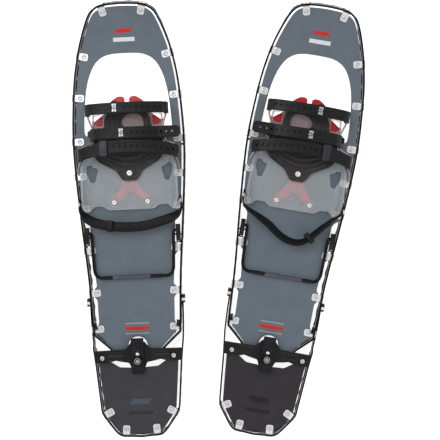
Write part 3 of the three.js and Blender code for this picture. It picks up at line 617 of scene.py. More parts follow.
def frosted(name):
    """The clear moulded plate: milky and glossy, with what lies under it showing through."""
    n = Nodes(name)
    haze = n.ramp(n.noise(26.0, 4.0), 0.3, 0.7, 0.27, 0.33)
    rub = n.ramp(n.noise(190.0, 6.0, 0.7, stretch=(1.0, 0.3, 1.0)), 0.58, 0.75, 0.0, 0.06)
    facing = n.add("ShaderNodeLayerWeight", {"Blend": 0.35}).outputs["Facing"]
    rim = n.math("MULTIPLY", n.ramp(facing, 0.3, 0.95), 0.5)
    cover = n.math("ADD", n.math("ADD", haze, rub), rim, clamp=True)
    tint = n.mix(n.noise(30.0, 3.0), hexed(206, 211, 218), hexed(222, 224, 226))
    normal = n.bump(n.noise(420.0, 3.0), 0.05, 0.0003)
    body = n.surface(base=tint, roughness=0.22, normal=normal, coat=0.5, coat_roughness=0.1)
    through = n.add("ShaderNodeBsdfTransparent", {"Color": (0.93, 0.95, 0.95, 1.0)})
    blend = n.add("ShaderNodeMixShader", {"Fac": cover, 1: through.outputs[0], 2: body.outputs[0]})
    return n.finish(blend)


RED_INK = hexed(205, 38, 34)
BLACK_INK = hexed(14, 13, 16)
WHITE_INK = hexed(226, 229, 231)
GREY_INK = hexed(158, 166, 172)
BARE_ALLOY = hexed(176, 176, 178)

# printed bars: centre u, centre v, half width, half height (metres), lean, ink
DECK_MARKS = [
    (0.0, y_at(50) * MM, 0.014, 0.0035, -0.6, RED_INK),
    (0.0, y_at(65) * MM, 0.019, 0.0035, 0.0, WHITE_INK),
    (0.0, y_at(568) * MM, 0.021, 0.0009, 0.0, GREY_INK),
    (0.0, y_at(577) * MM, 0.021, 0.0032, 0.0, RED_INK),
    (0.0, y_at(586) * MM, 0.021, 0.0009, 0.0, GREY_INK),
]


def tail_marks(upper_ink, lower_ink):
    return [
        (0.0, y_at(707) * MM, 0.017, 0.005, -0.6, upper_ink),
        (0.0, y_at(727) * MM, 0.022, 0.003, 0.0, lower_ink),
    ]


LEFT_TAIL_MARKS = tail_marks(hexed(70, 80, 94), hexed(40, 41, 47))
RIGHT_TAIL_MARKS = tail_marks(BLACK_INK, BLACK_INK)
# where the crampon lies under the clear plate, painted paler as painted light scattered through the plate:
# from and to, in metres ahead of mid-length
PAINTED_LIGHT_SPAN = (0.112, 0.036)

# anodised: base, worn edge, roughness, metallic, wear; bright_metal: base, roughness, grime, metallic;
# rubbery: base, dust's colour, roughness, grain, amount of dust
LOOKS = {
    "deck_cloth": (coated_cloth, hexed(106, 117, 127), hexed(97, 107, 118), DECK_MARKS),
    "left_tail_cloth": (coated_cloth, hexed(63, 61, 67), hexed(53, 51, 57), LEFT_TAIL_MARKS),
    "right_tail_cloth": (coated_cloth, hexed(46, 42, 48), hexed(37, 34, 39), RIGHT_TAIL_MARKS),
    "rail": (anodised, hexed(17, 16, 19), hexed(96, 94, 97), 0.36, 0.6, 0.4),
    "steel": (bright_metal, hexed(250, 250, 252), 0.3, 0.15, 0.45),
    "wire_steel": (bright_metal, hexed(150, 146, 144), 0.3, 0.3, 0.9),
    "moulding": (rubbery, hexed(11, 11, 13), hexed(44, 43, 46), 0.44, 500.0, 0.15),
    "bail_wire": (anodised, hexed(20, 20, 22), hexed(120, 120, 122), 0.34, 0.5, 0.4),
    "sleeve": (rubbery, hexed(84, 82, 90), hexed(126, 124, 132), 0.55, 420.0, 0.4),
    # its third colour is painted light: the paler tint where the crampon lies under the clear plate
    "crampon_paint": (
        painted, hexed(218, 16, 28), hexed(180, 10, 20), hexed(252, 92, 108), *PAINTED_LIGHT_SPAN, BARE_ALLOY
    ),
    "clear_plate": (frosted,),
    "elastomer": (rubbery, hexed(11, 10, 13), hexed(38, 36, 41), 0.45, 620.0, 0.25),
    # painted shade: a darker copy of the elastomer for the heel strap, whose upright twisted faces catch the
    # light from above
    "heel_elastomer": (rubbery, hexed(5, 5, 7), hexed(24, 23, 27), 0.6, 620.0, 0.2),
    "pad_elastomer": (rubbery, hexed(46, 43, 45), hexed(92, 88, 90), 0.5, 560.0, 0.35),
    "buckle_steel": (bright_metal, hexed(200, 203, 212), 0.3, 0.3, 0.7),
    "dark_buckle": (rubbery, hexed(38, 43, 52), hexed(96, 104, 116), 0.3, 380.0, 0.2),
    "grip": (rubbery, hexed(16, 16, 17), hexed(60, 58, 60), 0.6, 540.0, 0.2),
}
MATERIALS = {name: make(name, *values) for name, (make, *values) in LOOKS.items()}


# ---- pieces ----
def build(name, shape, shoe, body, material, replaces, slot=None, bevel=0.0, smooth=32.0):
    """One visible piece of one shoe, riding on its body and standing for its CAD nodes."""
    points = shoe.place(shape.points)
    faces = shape.on_side(shoe.mirror).faces
    mesh = bpy.data.meshes.new(shoe.side + "." + name)
    mesh.from_pydata([tuple(p) for p in points], [], faces)
    mesh.update()
    layer = mesh.uv_layers.new(name="flat")
    corners = np.empty(len(mesh.loops), dtype=np.int32)
    mesh.loops.foreach_get("vertex_index", corners)
    layer.data.foreach_set("uv", (shape.flat[corners] * MM).astype(np.float32).ravel())
    mesh.polygons.foreach_set("use_smooth", np.ones(len(mesh.polygons), dtype=bool))
    mesh.set_sharp_from_angle(angle=math.radians(smooth))
    mesh.materials.append(MATERIALS[material])
    piece = bpy.data.objects.new(shoe.side + "." + name, mesh)
    bpy.context.scene.collection.objects.link(piece)
    if bevel:
        modifier = piece.modifiers.new("edges", "BEVEL")
        modifier.width = bevel * MM
        modifier.segments = 2
        modifier.limit_method = "ANGLE"
        modifier.angle_limit = math.radians(40)
        modifier.harden_normals = False
        modifier.miter_outer = "MITER_ARC"
    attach(piece, shoe.side + "_" + body)
    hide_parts(*[shoe.side + "_" + node for node in replaces])


# ---- the rails ----
MAIN_SIDE = [
    [0, 2], [22, 3], [40, 6], [55, 15], [64.5, 30], [75.6, 58], [84.4, 88], [92.2, 130],
    [96.8, 180], [99.4, 240], [97.6, 300], [91, 390], [83.2, 480], [79.2, 560], [78, 586],
]
MAIN_END = [[78, 586], [50, 611.5], [32, 630.5], [0, 635]]
TAIL_SIDE = [[83.6, 522], [83, 565], [81.2, 600], [76.8, 640], [73.4, 680], [71.2, 705], [69.8, 722]]
TAIL_END = [[69.8, 722], [62, 737], [45, 760], [37, 767], [0, 770]]
MAIN_CLIPS = [
    [36, 5], [83, 90], [94.5, 165], [99.4, 243], [97.4, 305],
    [93.4, 362], [87, 437], [81.2, 512], [78.4, 577],
]
TAIL_CLIPS = [[66, 730], [27.5, 768]]
ARM_REAR = 606.0
ARM_TOP = 16.0
ARM_LOW = 3.0
ARM_WINDOW_GAP = 26.0
CORNER_EASE = 7.0
CLIP_WINDOW = 17.0
USUAL_WINDOW = 19.0
WINDOW_POST = 5.5


def eased(points, reach=CORNER_EASE):
    """An open polyline with its inner corners rounded."""
    p = [np.array(q, dtype=float) for q in points]
    out = [p[0]]
    for before, corner, after in zip(p, p[1:], p[2:]):
        a = corner - before
        b = after - corner
        r = min(reach, 0.45 * np.linalg.norm(a), 0.45 * np.linalg.norm(b))
        start = corner - a / np.linalg.norm(a) * r
        end = corner + b / np.linalg.norm(b) * r
        out += corner_curve(start, corner, end, 4)
    out.append(p[-1])
    return np.array(out)


class Run:
    """A rail's outer face as a curve in plan, with the way out of the shoe at each point."""

    def __init__(self, points):
        self.points = spaced(points, 1.6)
        self.s = lengths(self.points)
        along = np.gradient(self.points, axis=0)
        along /= np.linalg.norm(along, axis=1)[:, None]
        self.out = np.stack([-along[:, 1], along[:, 0]], axis=1)
        self.length = self.s[-1]

    def at(self, s):
        point = at_lengths(self.points, s)
        out = np.stack([np.interp(s, self.s, self.out[:, k]) for k in range(2)], axis=1)
        return point, out / np.linalg.norm(out, axis=1)[:, None]

    def nearest(self, x, station):
        target = np.array([x, y_at(station)])
        return self.s[np.argmin(np.linalg.norm(self.points - target, axis=1))]


def symmetric_run(side, end):
    """The curve back along the right side, across the centre line and forward along the left."""
    half = np.concatenate([spline(from_stations(side), 14)[:-1], eased(from_stations(end))])
    left = half[::-1] * np.array([-1.0, 1.0])
    return Run(np.concatenate([half, left[1:]]))


MAIN_RUN = symmetric_run(MAIN_SIDE, MAIN_END)
TAIL_RUN = symmetric_run(TAIL_SIDE, TAIL_END)


def places_on(run, clips):
    """Distances along a run of the clips on both sides."""
    found = [run.nearest(x * side, station) for x, station in clips for side in (1, -1)]
    return sorted(found)


def rail_windows(clips, start, stop):
    """Windows as (middle, length): one at each clip, the others evenly between."""
    windows = [(s, CLIP_WINDOW) for s in clips]
    post = WINDOW_POST
    edges = [start] + sorted(clips) + [stop]
    for a, b in zip(edges, edges[1:]):
        low = a + (CLIP_WINDOW / 2 if a in clips else 4.0)
        high = b - (CLIP_WINDOW / 2 if b in clips else 4.0)
        room = high - low - post
        count = int(room // (USUAL_WINDOW + post))
        if count < 1:
            continue
        length = room / count - post
        windows += [(low + post + length / 2 + k * (length + post), length) for k in range(count)]
    return windows


def tooth_height(s):
    """Lower edge of a toothed rail: blunt points with rounded valleys."""
    phase = (s / TOOTH_PITCH) % 1.0
    rise = abs(phase - 0.5) * 2
    return TOOTH_DEPTH * min(1.0, max(0.0, (rise - 0.12) / 0.62)) ** 0.85


def wall_shape(run, windows, clips, low_at, high_at, wall):
    """A rail's wall with its toothed lower edge, its rounded windows and a slot over each clip's window."""
    step, hole_step = 1.8, 1.8 * 1.5
    stops = np.linspace(0, run.length, int(run.length / step) + 1)
    outline = [(s, low_at(s)) for s in stops] + [(s, high_at(s)) for s in stops[::-1]]
    holes = []
    for middle, length in windows:
        a, b = middle - length / 2, middle + length / 2
        holes.append(dense(box(a, b, WINDOW_LOW, RAIL_BAND_LOW, 3.2, 3), hole_step))
    for middle in clips:
        a, b = middle - CLIP_WIDTH / 2 - 1, middle + CLIP_WIDTH / 2 + 1
        holes.append(dense(box(a, b, SLOT_LOW, SLOT_HIGH, 0.6, 2), hole_step))
    flat = slab(np.array(outline), holes, 0.0, wall)

    def wrap(points):
        point, out = run.at(points[:, 0])
        plan = point - out * (wall - points[:, 2:3])
        return np.column_stack([plan, points[:, 1]])

    return flat.moved(wrap)


def main_rail():
    clips = places_on(MAIN_RUN, MAIN_CLIPS)
    pitch = MAIN_RUN.length / round(MAIN_RUN.length / TOOTH_PITCH)
    windows = rail_windows(clips, 0.0, MAIN_RUN.length)

    def low_at(s):
        return tooth_height(s / pitch * TOOTH_PITCH)

    def high_at(s):
        return RAIL_TOP

    return wall_shape(MAIN_RUN, windows, clips, low_at, high_at, MAIN_WALL).moved(bent_toe)


def tail_rail():
    clips = places_on(TAIL_RUN, TAIL_CLIPS)
    arm = abs(TAIL_RUN.nearest(82, ARM_REAR))
    slope = 6.0
    nose_length = 6.0
    nose_drop = 3.0

    def along_arm(s):
        inner = min(s, TAIL_RUN.length - s)
        return min(1.0, max(0.0, (inner - arm) / slope + 0.5))

    def low_at(s):
        return ARM_LOW + (tooth_height(s) - ARM_LOW) * along_arm(s)

    def high_at(s):
        inner = min(s, TAIL_RUN.length - s)
        share = min(inner, nose_length) / nose_length
        nose = min(1.0, math.sqrt(max(inner, 0.0) / nose_length * (2 - share)))
        top = ARM_TOP - nose_drop * (1 - nose)
        return top + (RAIL_TOP - top) * along_arm(s)

    start = arm + ARM_WINDOW_GAP
    windows = rail_windows(clips, start, TAIL_RUN.length - arm - ARM_WINDOW_GAP)
    return wall_shape(TAIL_RUN, windows, clips, low_at, high_at, RAIL_WALL)


# ---- decks and clips ----
CLIP_WIDTH = 13.0
CLIP_LEAF = 1.1
CLIP_REACH = 20.0
CLIP_OUT = 1.5
RIVET_INSET = 13.0
SLOT_LOW = DECK_TOP - 0.4
SLOT_HIGH = DECK_TOP + CLIP_LEAF + 0.4
WAIST = [[80, 377], [76, 383], [75.5, 400]]
DECK_END = [
    [66.5, 588], [47, 607.5], [30, 626], [17.5, 627], [17.5, 609],
    [16.2, 602], [12.4, 596], [6.7, 592.6], [0, 591.4],
]
TOE_OPENING = [
    [0, 88.5], [24, 89.5], [40, 94], [52, 103], [61, 117], [68, 136], [73, 160], [76, 188],
    [77.5, 212], [77.5, 227], [75, 232.5], [70, 235], [66, 236], [65, 247.5], [0, 247.5],
]


def lobe(station, inner, outer):
    return [
        [inner, station - 12], [outer - 2, station - 8], [outer, station - 5],
        [outer, station + 5], [outer - 2, station + 8], [inner, station + 12],
    ]


def deck_outline():
    s = np.arange(0, MAIN_RUN.length / 2, 4.0)
    point, out = MAIN_RUN.at(s)
    edge = point - out * DECK_INSET
    front = edge[point[:, 1] > y_at(374)]
    front[0, 0] = 0.0
    behind = WAIST + lobe(437, 73, 79) + lobe(512, 68.3, 74) + lobe(577, 67.3, 71) + DECK_END
    behind = from_stations(behind)
    half = np.concatenate([front, behind])
    half[:, 0] = np.maximum(half[:, 0], 0.0)
    return rounded(mirrored(half), 3.0, 3)


def deck_cloth():
    front = spline(from_stations(TOE_OPENING[:11]), 4)
    opening = np.concatenate([front, from_stations(TOE_OPENING[11:])])
    opening = rounded(mirrored(opening), 2.0, 3)

    def sagged(points):
        """Cloth under tension: dips slightly between its clips."""
        p = points.copy()
        p[:, 2] += 0.25 * np.sin(p[:, 0] / 23.0) * np.sin(p[:, 1] / 37.0)
        return bent_toe(p)

    return slab(deck_outline(), [opening], DECK_LOW + 0.1, DECK_TOP, 9.0, 6.0, sagged)


TAIL_SHEET = [
    [0, 647], [17, 646], [34, 645], [48, 635.5], [70.6, 635.5], [68.2, 665], [65.6, 694],
    [63.4, 719], [56, 733.5], [41, 754.5], [34, 761.5], [0, 764],
]


def tail_cloth():
    outline = rounded(mirrored(from_stations(TAIL_SHEET)), 2.5, 3)
    return slab(outline, [], DECK_LOW + 0.1, DECK_TOP, 9.0, 6.0)


def lifted(path, s, height, reach):
    """Points at distances s along a path in a plane, lifted off its face by a height."""
    total = lengths(path)[-1]
    s = np.clip(s, 0, total)
    ahead = at_lengths(path, np.clip(s + reach, 0, total)) - at_lengths(path, np.clip(s - reach, 0, total))
    ahead /= np.linalg.norm(ahead, axis=1)[:, None]
    normal = np.stack([-ahead[:, 1], ahead[:, 0]], axis=1)
    return at_lengths(path, s) + normal * height[:, None]


def clip_strip():
    """One clip, folded round the rail's band, with its outer face at the origin and +X out of the shoe."""
    low, high = DECK_LOW - CLIP_LEAF / 2, DECK_TOP + CLIP_LEAF / 2
    under = RAIL_BAND_LOW - 1.2
    corners = [
        (-CLIP_REACH, low), (-6.4, low), (-4.6, under),
        (CLIP_OUT, under), (CLIP_OUT, high), (-CLIP_REACH, high),
    ]
    path = eased(corners, 1.4)
    length = lengths(path)[-1]
    half = CLIP_WIDTH / 2
    strip = dense(box(0, length, -half, half, 4.2, 5), 1.6)
    waist = [(u, v * (1 - 0.13 * math.exp(-(((u - length / 2) / 11.0) ** 2)))) for u, v in strip]
    flat = slab(np.array(waist), [], -CLIP_LEAF / 2, CLIP_LEAF / 2)
    u, v, height = flat.points.T
    moved = lifted(path, u, height, 0.4)
    return Shape(np.column_stack([moved[:, 0], v, moved[:, 1]]), flat.faces, flat.flat)


def clip_rivet():
    """A tubular rivet with a rolled, hollow head."""
    top = DECK_TOP + CLIP_LEAF
    low = DECK_LOW
    profile = [
        (0, low - 2.2), (2.4, low - 2.2), (3.3, low - 1.7), (3.3, low - 1.15), (1.9, low - 1.1),
        (1.9, top), (3.9, top + 0.05), (4.0, top + 0.5), (3.6, top + 1.1), (2.9, top + 1.35),
        (2.2, top + 1.2), (1.6, top + 0.45), (0, top + 0.35),
    ]
    return turned(profile, 20, (-RIVET_INSET, 0, 0))


def clips_on(run, places, toe=False):
    strip, rivet = clip_strip(), clip_rivet()
    strips, rivets = [], []
    for s in places:
        point, out = run.at(np.array([s]))
        (x, y), (a, b) = point[0], out[0]
        turn = np.array([[a, -b, 0], [b, a, 0], [0, 0, 1]])
        strips.append(strip.turned(turn, (x, y, 0)))
        rivets.append(rivet.turned(turn, (x, y, 0)))
    warp = bent_toe if toe else (lambda p: p)
    return together(strips).moved(warp), together(rivets).moved(warp)


# ---- crossbars, axle and heel lifter ----
def upright(flat, x=None, y=None):
    """A slab drawn in (across, z) or (along, z), stood up at a y or an x."""
    p = flat.points
    if y is not None:
        faces = [face[::-1] for face in flat.faces]
        return Shape(np.column_stack([p[:, 0], y + p[:, 2], p[:, 1]]), faces, flat.flat)
    return Shape(np.column_stack([x + p[:, 2], p[:, 0], p[:, 1]]), flat.faces, flat.flat)


def crossbar(half, station, teeth):
    top, end_top, low = 21.4, 16.0, 1.0
    shoulder = half - 22
    pitch = 2 * half / teeth
    outline = [
        (half, end_top), (shoulder, end_top), (shoulder - 4, top), (4 - shoulder, top),
        (-shoulder, end_top), (-half, end_top), (-half, low),
    ]
    for k in range(teeth):
        x = -half + k * pitch
        valley = ((0.36, low), (0.47, TOOTH_DEPTH), (0.53, TOOTH_DEPTH), (0.64, low))
        outline += [(x + pitch * share, z) for share, z in valley]
    outline.append((half, low))
    holes = [circle(-half + (k + 0.5) * pitch, 13.2, 3.4, 16) for k in range(1, teeth - 1)]
    flat = slab(rounded(outline, 1.6, 3), holes, 0.0, RAIL_WALL)
    return upright(flat, y=y_at(station) - RAIL_WALL)


AXLE_BORE = 4.3
EAR_WALL = 3.5
BRACKET_WIDTH = 7.8
EAR_OUTLINE = [(223, 12), (223, 20), (234, 21.3), (252, 21.3), (252, 9), (230, 9)]


def axle_ears():
    outline = rounded(from_stations([[z, s] for s, z in EAR_OUTLINE])[:, ::-1], 2.5, 4)
    bore = circle(y_at(AXLE_STATION), AXLE_HEIGHT, AXLE_BORE, 24)
    flat = slab(outline, [bore], 0.0, EAR_WALL)
    return together([upright(flat, x=68.5), upright(flat, x=-72.0)])


def axle():
    end, head, shank = 74.0, 1.6, 3.9
    profile = [
        (0, -end), (4.6, -end), (6, -end + 0.5), (6, -end + head), (shank, -end + head),
        (shank, end - head), (6, end - head), (6, end - 0.5), (4.6, end), (0, end),
    ]
    return turned(profile, 28, (0, y_at(AXLE_STATION), AXLE_HEIGHT), axis="x")


def lifter_bracket(side):
    stations = [(395, 21.8), (395, 32), (399, 35), (413, 35), (421, 31), (428, 27), (428, 21.8)]
    outline = rounded([(y_at(s), z) for s, z in stations], 2.6, 4)
    bore = circle(y_at(LIFTER_STATION), LIFTER_HEIGHT, LIFTER_WIRE + 0.4, 20)
    flat = slab(outline, [bore], 0.0, BRACKET_WIDTH)
    block = upright(flat, x=76.6 if side > 0 else -84.4)
    head = [(0, 26.8), (2.6, 26.8), (2.6, 28.4), (2.1, 29.0), (1.2, 29.0), (1.0, 28.3), (0, 28.3)]
    return block, turned(head, 14, (side * 80.5, y_at(423.5), 0))


def bail():
    rear = LIFTER_STATION + LIFTER_REACH
    right = [
        [84.0, LIFTER_STATION], [75.6, LIFTER_STATION], [73, LIFTER_STATION + 2], [72.4, LIFTER_STATION + 6],
        [70, rear - 13], [67.5, rear - 5], [60, rear],
    ]
    half = from_stations(right)
    path = eased(np.concatenate([half, half[::-1] * np.array([-1.0, 1.0])]), 3.5)
    path = np.column_stack([path, np.full(len(path), LIFTER_HEIGHT)])
    return tube(path, LIFTER_WIRE, (0, 0, 1), 14)


def on_bail(start, stop, outer, ribs, depth):
    """A ribbed tube on the bail's crossbar, from x = start to stop."""
    bore = LIFTER_WIRE + 0.15
    ease = 0.8
    width = (stop - start) / ribs * 0.22
    low = outer - depth
    profile = [(bore, start), (outer - ease, start), (outer, start + ease)]
    for k in range(ribs):
        x = start + ease + (stop - start - 2 * ease) * (k + 0.5) / ribs
        profile += [(outer, x - width), (low, x - width * 0.4), (low, x + width * 0.4), (outer, x + width)]
    profile += [(outer, stop - ease), (outer - ease, stop), (bore, stop)]
    rear = LIFTER_STATION + LIFTER_REACH
    return turned(profile, 24, (0, y_at(rear), LIFTER_HEIGHT), axis="x")


# ---- crampon and base plate ----
ARM_RIVET = (29.5, 353.0)
PAD_RIVET_STATION = 302.0
CRAMPON_WEB = [
    [4, 178], [4, 168], [9, 165], [17, 165.5], [27, 172], [32, 178], [42, 196], [60, 209],
    [63, 214], [63, 242], [42, 262], [24, 276], [15, 300], [14, 322],
    [34, 345], [37, 353], [33, 360], [26, 360], [22, 355], [6, 336], [0, 335],
]
FLANGE_WALL = 2.5
WEB_SLOT = [[8, 262], [20, 250], [36, 247], [30, 256], [12, 274]]
SIDE_TEETH = [
    [207, 25], [244, 25], [243, 12], [240, 8], [236, 8], [232, 1.5], [229, 1.5],
    [225, 9], [221, 1.5], [218, 1.5], [214, 10], [210, 4], [207, 4],
]
TOE_POINTS = [[8, 25], [28, 25], [27, 12], [23, 2], [21, 2], [18, 12], [14, 2], [12, 2], [8, 14]]


def crampon():
    half = from_stations(CRAMPON_WEB)
    # across the front the outline runs straight between the two toe lobes
    outline = np.concatenate([half, half[:-1][::-1] * np.array([-1.0, 1.0])])
    slots = [
        rounded([(side * x, y_at(station)) for x, station in WEB_SLOT], 3, 3)
        for side in (1, -1)
    ]
    web = slab(rounded(outline, 2.2, 3), slots, CRAMPON_LOW, CRAMPON_LOW + CRAMPON_WALL)
    teeth = rounded([(y_at(s), z) for s, z in SIDE_TEETH], 0.9, 3)
    bore = circle(y_at(AXLE_STATION), AXLE_HEIGHT, AXLE_BORE, 24)
    flanges = [upright(slab(teeth, [bore], 0.0, FLANGE_WALL), x=x) for x in (60.5, -63.0)]
    points = []
    for side in (1, -1):
        flat = slab(rounded([(side * x, z) for x, z in TOE_POINTS], 0.9, 3), [], 0.0, FLANGE_WALL)
        points.append(upright(flat, y=y_at(176)))
    return together([web, *flanges, *points])


def rivet_head(x, station, seat, radius, height):
    """A rolled steel rivet head with a dimple."""
    low, shank = CRAMPON_LOW + 0.2, 2.4
    dome = ((1, 0.45), (0.86, 0.85), (0.62, 1), (0.42, 0.9), (0.3, 0.62), (0, 0.55))
    profile = [(0, low), (shank, low), (shank, seat), (radius, seat)]
    profile += [(radius * share, seat + height * rise) for share, rise in dome]
    return turned(profile, 26, (x, y_at(station), 0))


# from the front back: station of the middle, station of the edge, flat half width, full half width, curl
PLATE_ROWS = np.array([
    [195, 195, 50, 62, 0.4],
    [236, 236, 55, 64, 1.0],
    [266, 264, 60, 75, 8.0],
    [292, 292, 65, 84, 17.0],
    [318, 318, 65.5, 84.5, 18.0],
    [345, 345, 66, 85, 19.0],
    [366, 368, 62, 79, 16.0],
])
PLATE_REAR_SIDE = 359.0
PLATE_WINDOWS = [
    [[56, 293], [69, 285], [77, 287], [77, 300], [70, 316], [62, 316]],
    [[44, 198], [58, 200], [61, 207], [59, 214], [52, 218], [44, 217]],
]


def plate_rows(t):
    """The plate's row values at t, from 0 at its front edge to 1 at its rear."""
    rows = np.arange(len(PLATE_ROWS))
    where = np.clip(t, 0, 1) * rows[-1]
    return np.stack([np.interp(where, rows, column) for column in PLATE_ROWS.T], axis=1)


def plate_surface(share, t):
    """Points of the plate's underside: share runs from -1 to 1 across, t from 0 to 1 back."""
    rows = plate_rows(t)
    middle, edge, flat, full, curl = rows.T
    side, reach = np.sign(share), np.abs(share)
    turn = np.maximum(reach - 0.5, 0) * math.pi
    x = np.where(reach <= 0.5, flat * reach * 2, flat + (full - flat) * np.sin(turn))
    z = PLATE_LOW + curl * (1 - np.cos(turn))
    blend = rising(reach, 0.3, 0.12)
    blend = blend * blend * (3 - 2 * blend)
    out = rising(reach, 0.5, 0.3)
    station = middle - blend * np.maximum(middle - PLATE_REAR_SIDE, 0)
    station = station + (edge - station) * out * out * (3 - 2 * out)
    return np.column_stack([side * x, y_at(station), z])


def plate_inverse(points):
    """(share, t) of plan points on the plate."""
    shares = np.linspace(0, 1, 161)
    ts = np.linspace(0, 1, 401)
    grid_share, grid_t = np.meshgrid(shares, ts)
    flat = plate_surface(grid_share.ravel(), grid_t.ravel())[:, :2]
    found = []
    for x, y in points:
        k = np.argmin((flat[:, 0] - abs(x)) ** 2 + (flat[:, 1] - y) ** 2)
        found.append((math.copysign(grid_share.ravel()[k], x), grid_t.ravel()[k]))
    return found


# size of the flat pattern that share and t are cut from
PLATE_SCALE = np.array([130.0, 175.0])
PLATE_BORES = [(0, PAD_RIVET_STATION), ARM_RIVET, (-ARM_RIVET[0], ARM_RIVET[1])]
RIVET_BORE = 3.1


def base_plate():
    def flat_loop(points):
        return np.array(plate_inverse(points)) * PLATE_SCALE

    holes = []
    for window in PLATE_WINDOWS:
        for side in (1, -1):
            loop = rounded([(side * x, y_at(s)) for x, s in window], 1.6, 3)
            holes.append(flat_loop(loop))
    for x, station in PLATE_BORES:
        holes.append(flat_loop(circle(x, y_at(station), RIVET_BORE, 14)))
    a, b = PLATE_SCALE
    outline = box(-a, a, 0, b, 6.0, 5)
    flat = slab(outline, holes, 0.0, PLATE_WALL, 3.2, 3.2)
    share = flat.points[:, 0] / a
    t = flat.points[:, 1] / b
    step = 0.004
    across = plate_surface(share + step, t) - plate_surface(share - step, t)
    ahead = plate_surface(share, np.clip(t - step, 0, 1)) - plate_surface(share, np.clip(t + step, 0, 1))
    normal = np.cross(across, ahead)
    normal /= np.maximum(np.linalg.norm(normal, axis=1), 1e-9)[:, None]
    normal *= np.where(normal[:, 2:3] < 0, -1.0, 1.0)
    rim = 0.9 * ridge(np.abs(share), 1, 0.028) + 0.5 * ridge(t, 1, 0.02)
    top = flat.points[:, 2] > PLATE_WALL / 2
    height = flat.points[:, 2] + np.where(top, rim, 0.0)
    points = plate_surface(share, t) + normal * height[:, None]
    faces = [face[::-1] for face in flat.faces]
    return Shape(points, faces, points[:, :2])


# station and half length of the ribs across the middle, and x and station of those along the arms
MIDDLE_RIBS = [
    (321, 11), (325.5, 11.5), (330, 13), (334.5, 16), (339, 9), (343.5, 12), (348, 14), (352.5, 15),
]
ARM_RIBS = [(19, 326), (22, 331), (26, 335.5), (31, 339.5)]


def plate_bosses():
    """Raised rings round the arm rivets, and the short ribs moulded between the arms."""
    ring = [(5.6, -0.3), (9.0, -0.3), (8.8, 0.5), (8.3, 0.8), (7.7, 0.8), (7.0, 0.2), (5.6, 0.2)]
    profile = [(radius, PLATE_TOP + rise) for radius, rise in ring]
    shapes = [turned(profile, 36, (side * ARM_RIVET[0], y_at(ARM_RIVET[1]), 0)) for side in (1, -1)]
    for station, half in MIDDLE_RIBS:
        y = y_at(station)
        shapes.append(slab(box(-half, half, y - 0.6, y + 0.6, 0.5, 3), [], PLATE_TOP - 0.2, PLATE_TOP + 0.45))
    for side in (1, -1):
        for k, (x, station) in enumerate(ARM_RIBS):
            angle = math.radians(-38 - 6 * k) * side
            c, s = math.cos(angle), math.sin(angle)
            corners = [(-6, -0.5), (6, -0.5), (6, 0.5), (-6, 0.5)]
            outline = [(side * x + c * u - s * v, y_at(station) + s * u + c * v) for u, v in corners]
            shapes.append(slab(rounded(outline, 0.4, 2), [], PLATE_TOP - 0.2, PLATE_TOP + 0.4))
    return together(shapes)


PAD_HALF = [
    [0, 196], [36, 196], [41, 210], [41, 226], [48, 236], [60, 244], [66, 255], [62, 270],
    [53, 281], [24, 297], [12, 315], [0, 315],
]
PAD_WINDOW = [[-10, 222], [-11, 208], [-4, 200], [8, 197], [20, 198], [28, 204], [29, 222]]


def forefoot_pad():
    outline = rounded(mirrored(from_stations(PAD_HALF)), 4.0, 4)
    window = rounded(from_stations(PAD_WINDOW), 4.0, 5)
    bore = circle(0, y_at(PAD_RIVET_STATION), 3.1, 16)
    border = np.concatenate([dense(outline, 2.0), dense(window, 2.0)])

    def relief(points):
        p = points.copy()
        x, station = p[:, 0], y_at(p[:, 1])
        top = p[:, 2] > PAD_LOW + 1.0
        lift = np.zeros(len(p))
        for middle in (274.5, 284.0, 293.0):
            line = middle - 0.0085 * x**2 * (1 + 0.1 * (middle - 284) / 10)
            lift += 1.5 * ridge(station, line, 1.7) * (rising(-np.abs(x), -46, 8) * (station > 262))
        for column in (-16.5, -24.5, -32.5, 34.5):
            lift += 1.2 * ridge(x, column, 1.6) * within(station, 199, 232, 3)
        across, ahead = (p[:, k, None] - border[None, :, k] for k in (0, 1))
        gap = np.sqrt(np.min(across**2 + ahead**2, axis=1))
        lift += 0.9 * ridge(gap, 1.6, 1.2)
        # the sides follow the plate as it starts to curl
        rise = rising(np.abs(x), 50, 14) ** 2 * 3.2 * rising(station, 244, 16)
        p[:, 2] += np.where(top, lift, 0.0) + rise
        return p

    return slab(outline, [window, bore], PAD_LOW, PAD_TOP, 1.7, 1.7, relief)


# ---- side wires and straps ----
WIRE_RADIUS = 1.6
STRAP_WALL = 2.2
WIRE_STRAIGHT = 11.5
ARCH_PAST_WIRE = 10.0
ARCH_END = 8.0
# wire: x and height of a side wire; crest and tip: top of the arch, and x and height of the free end;
# back: how far behind its middle a strap meets its inner and its outer wire
STRAPS = {
    "toe": dict(
        station=190.5, width=19.0, wire=(68.6, 36.0), buckle=18.0, crest=59.0, tip=(70.0, 50.0), back=(0, 0)
    ),
    "mid": dict(
        station=234.0, width=20.0, wire=(61.0, 37.0), buckle=8.0, crest=61.0, tip=(93.0, 52.0), back=(0, 0)
    ),
    "instep": dict(
        station=258.5, width=21.0, wire=(83.6, 44.0), buckle=38.0, crest=68.0, tip=(90.0, 58.0),
        back=(8.5, 11),
    ),
}
STRAP_RIM = 0.45
HOLE_RADIUS = 2.3
HOLE_PITCH = 10.0


def bowed(strap, x):
    """The station of a strap's middle line at x: a bow, straight on past the wires."""
    inner, outer = strap["back"]
    share = np.minimum(np.abs(x) / strap["wire"][0], 1.0)
    return strap["station"] + np.where(np.asarray(x) > 0, inner, outer) * share**2


def side_wire(side):
    path = []
    for strap in STRAPS.values():
        x, z = strap["wire"]
        station = float(bowed(strap, side * x))
        path += [[x, station - WIRE_STRAIGHT, z], [x, station + WIRE_STRAIGHT, z]]
    path += [[87.6, 290, 43], [87.6, 303, 40]]
    points = np.array([[side * x, y_at(s), z] for x, s, z in path])
    return tube(eased(points, 4.0), WIRE_RADIUS, (1, 0.2, 0), 12)


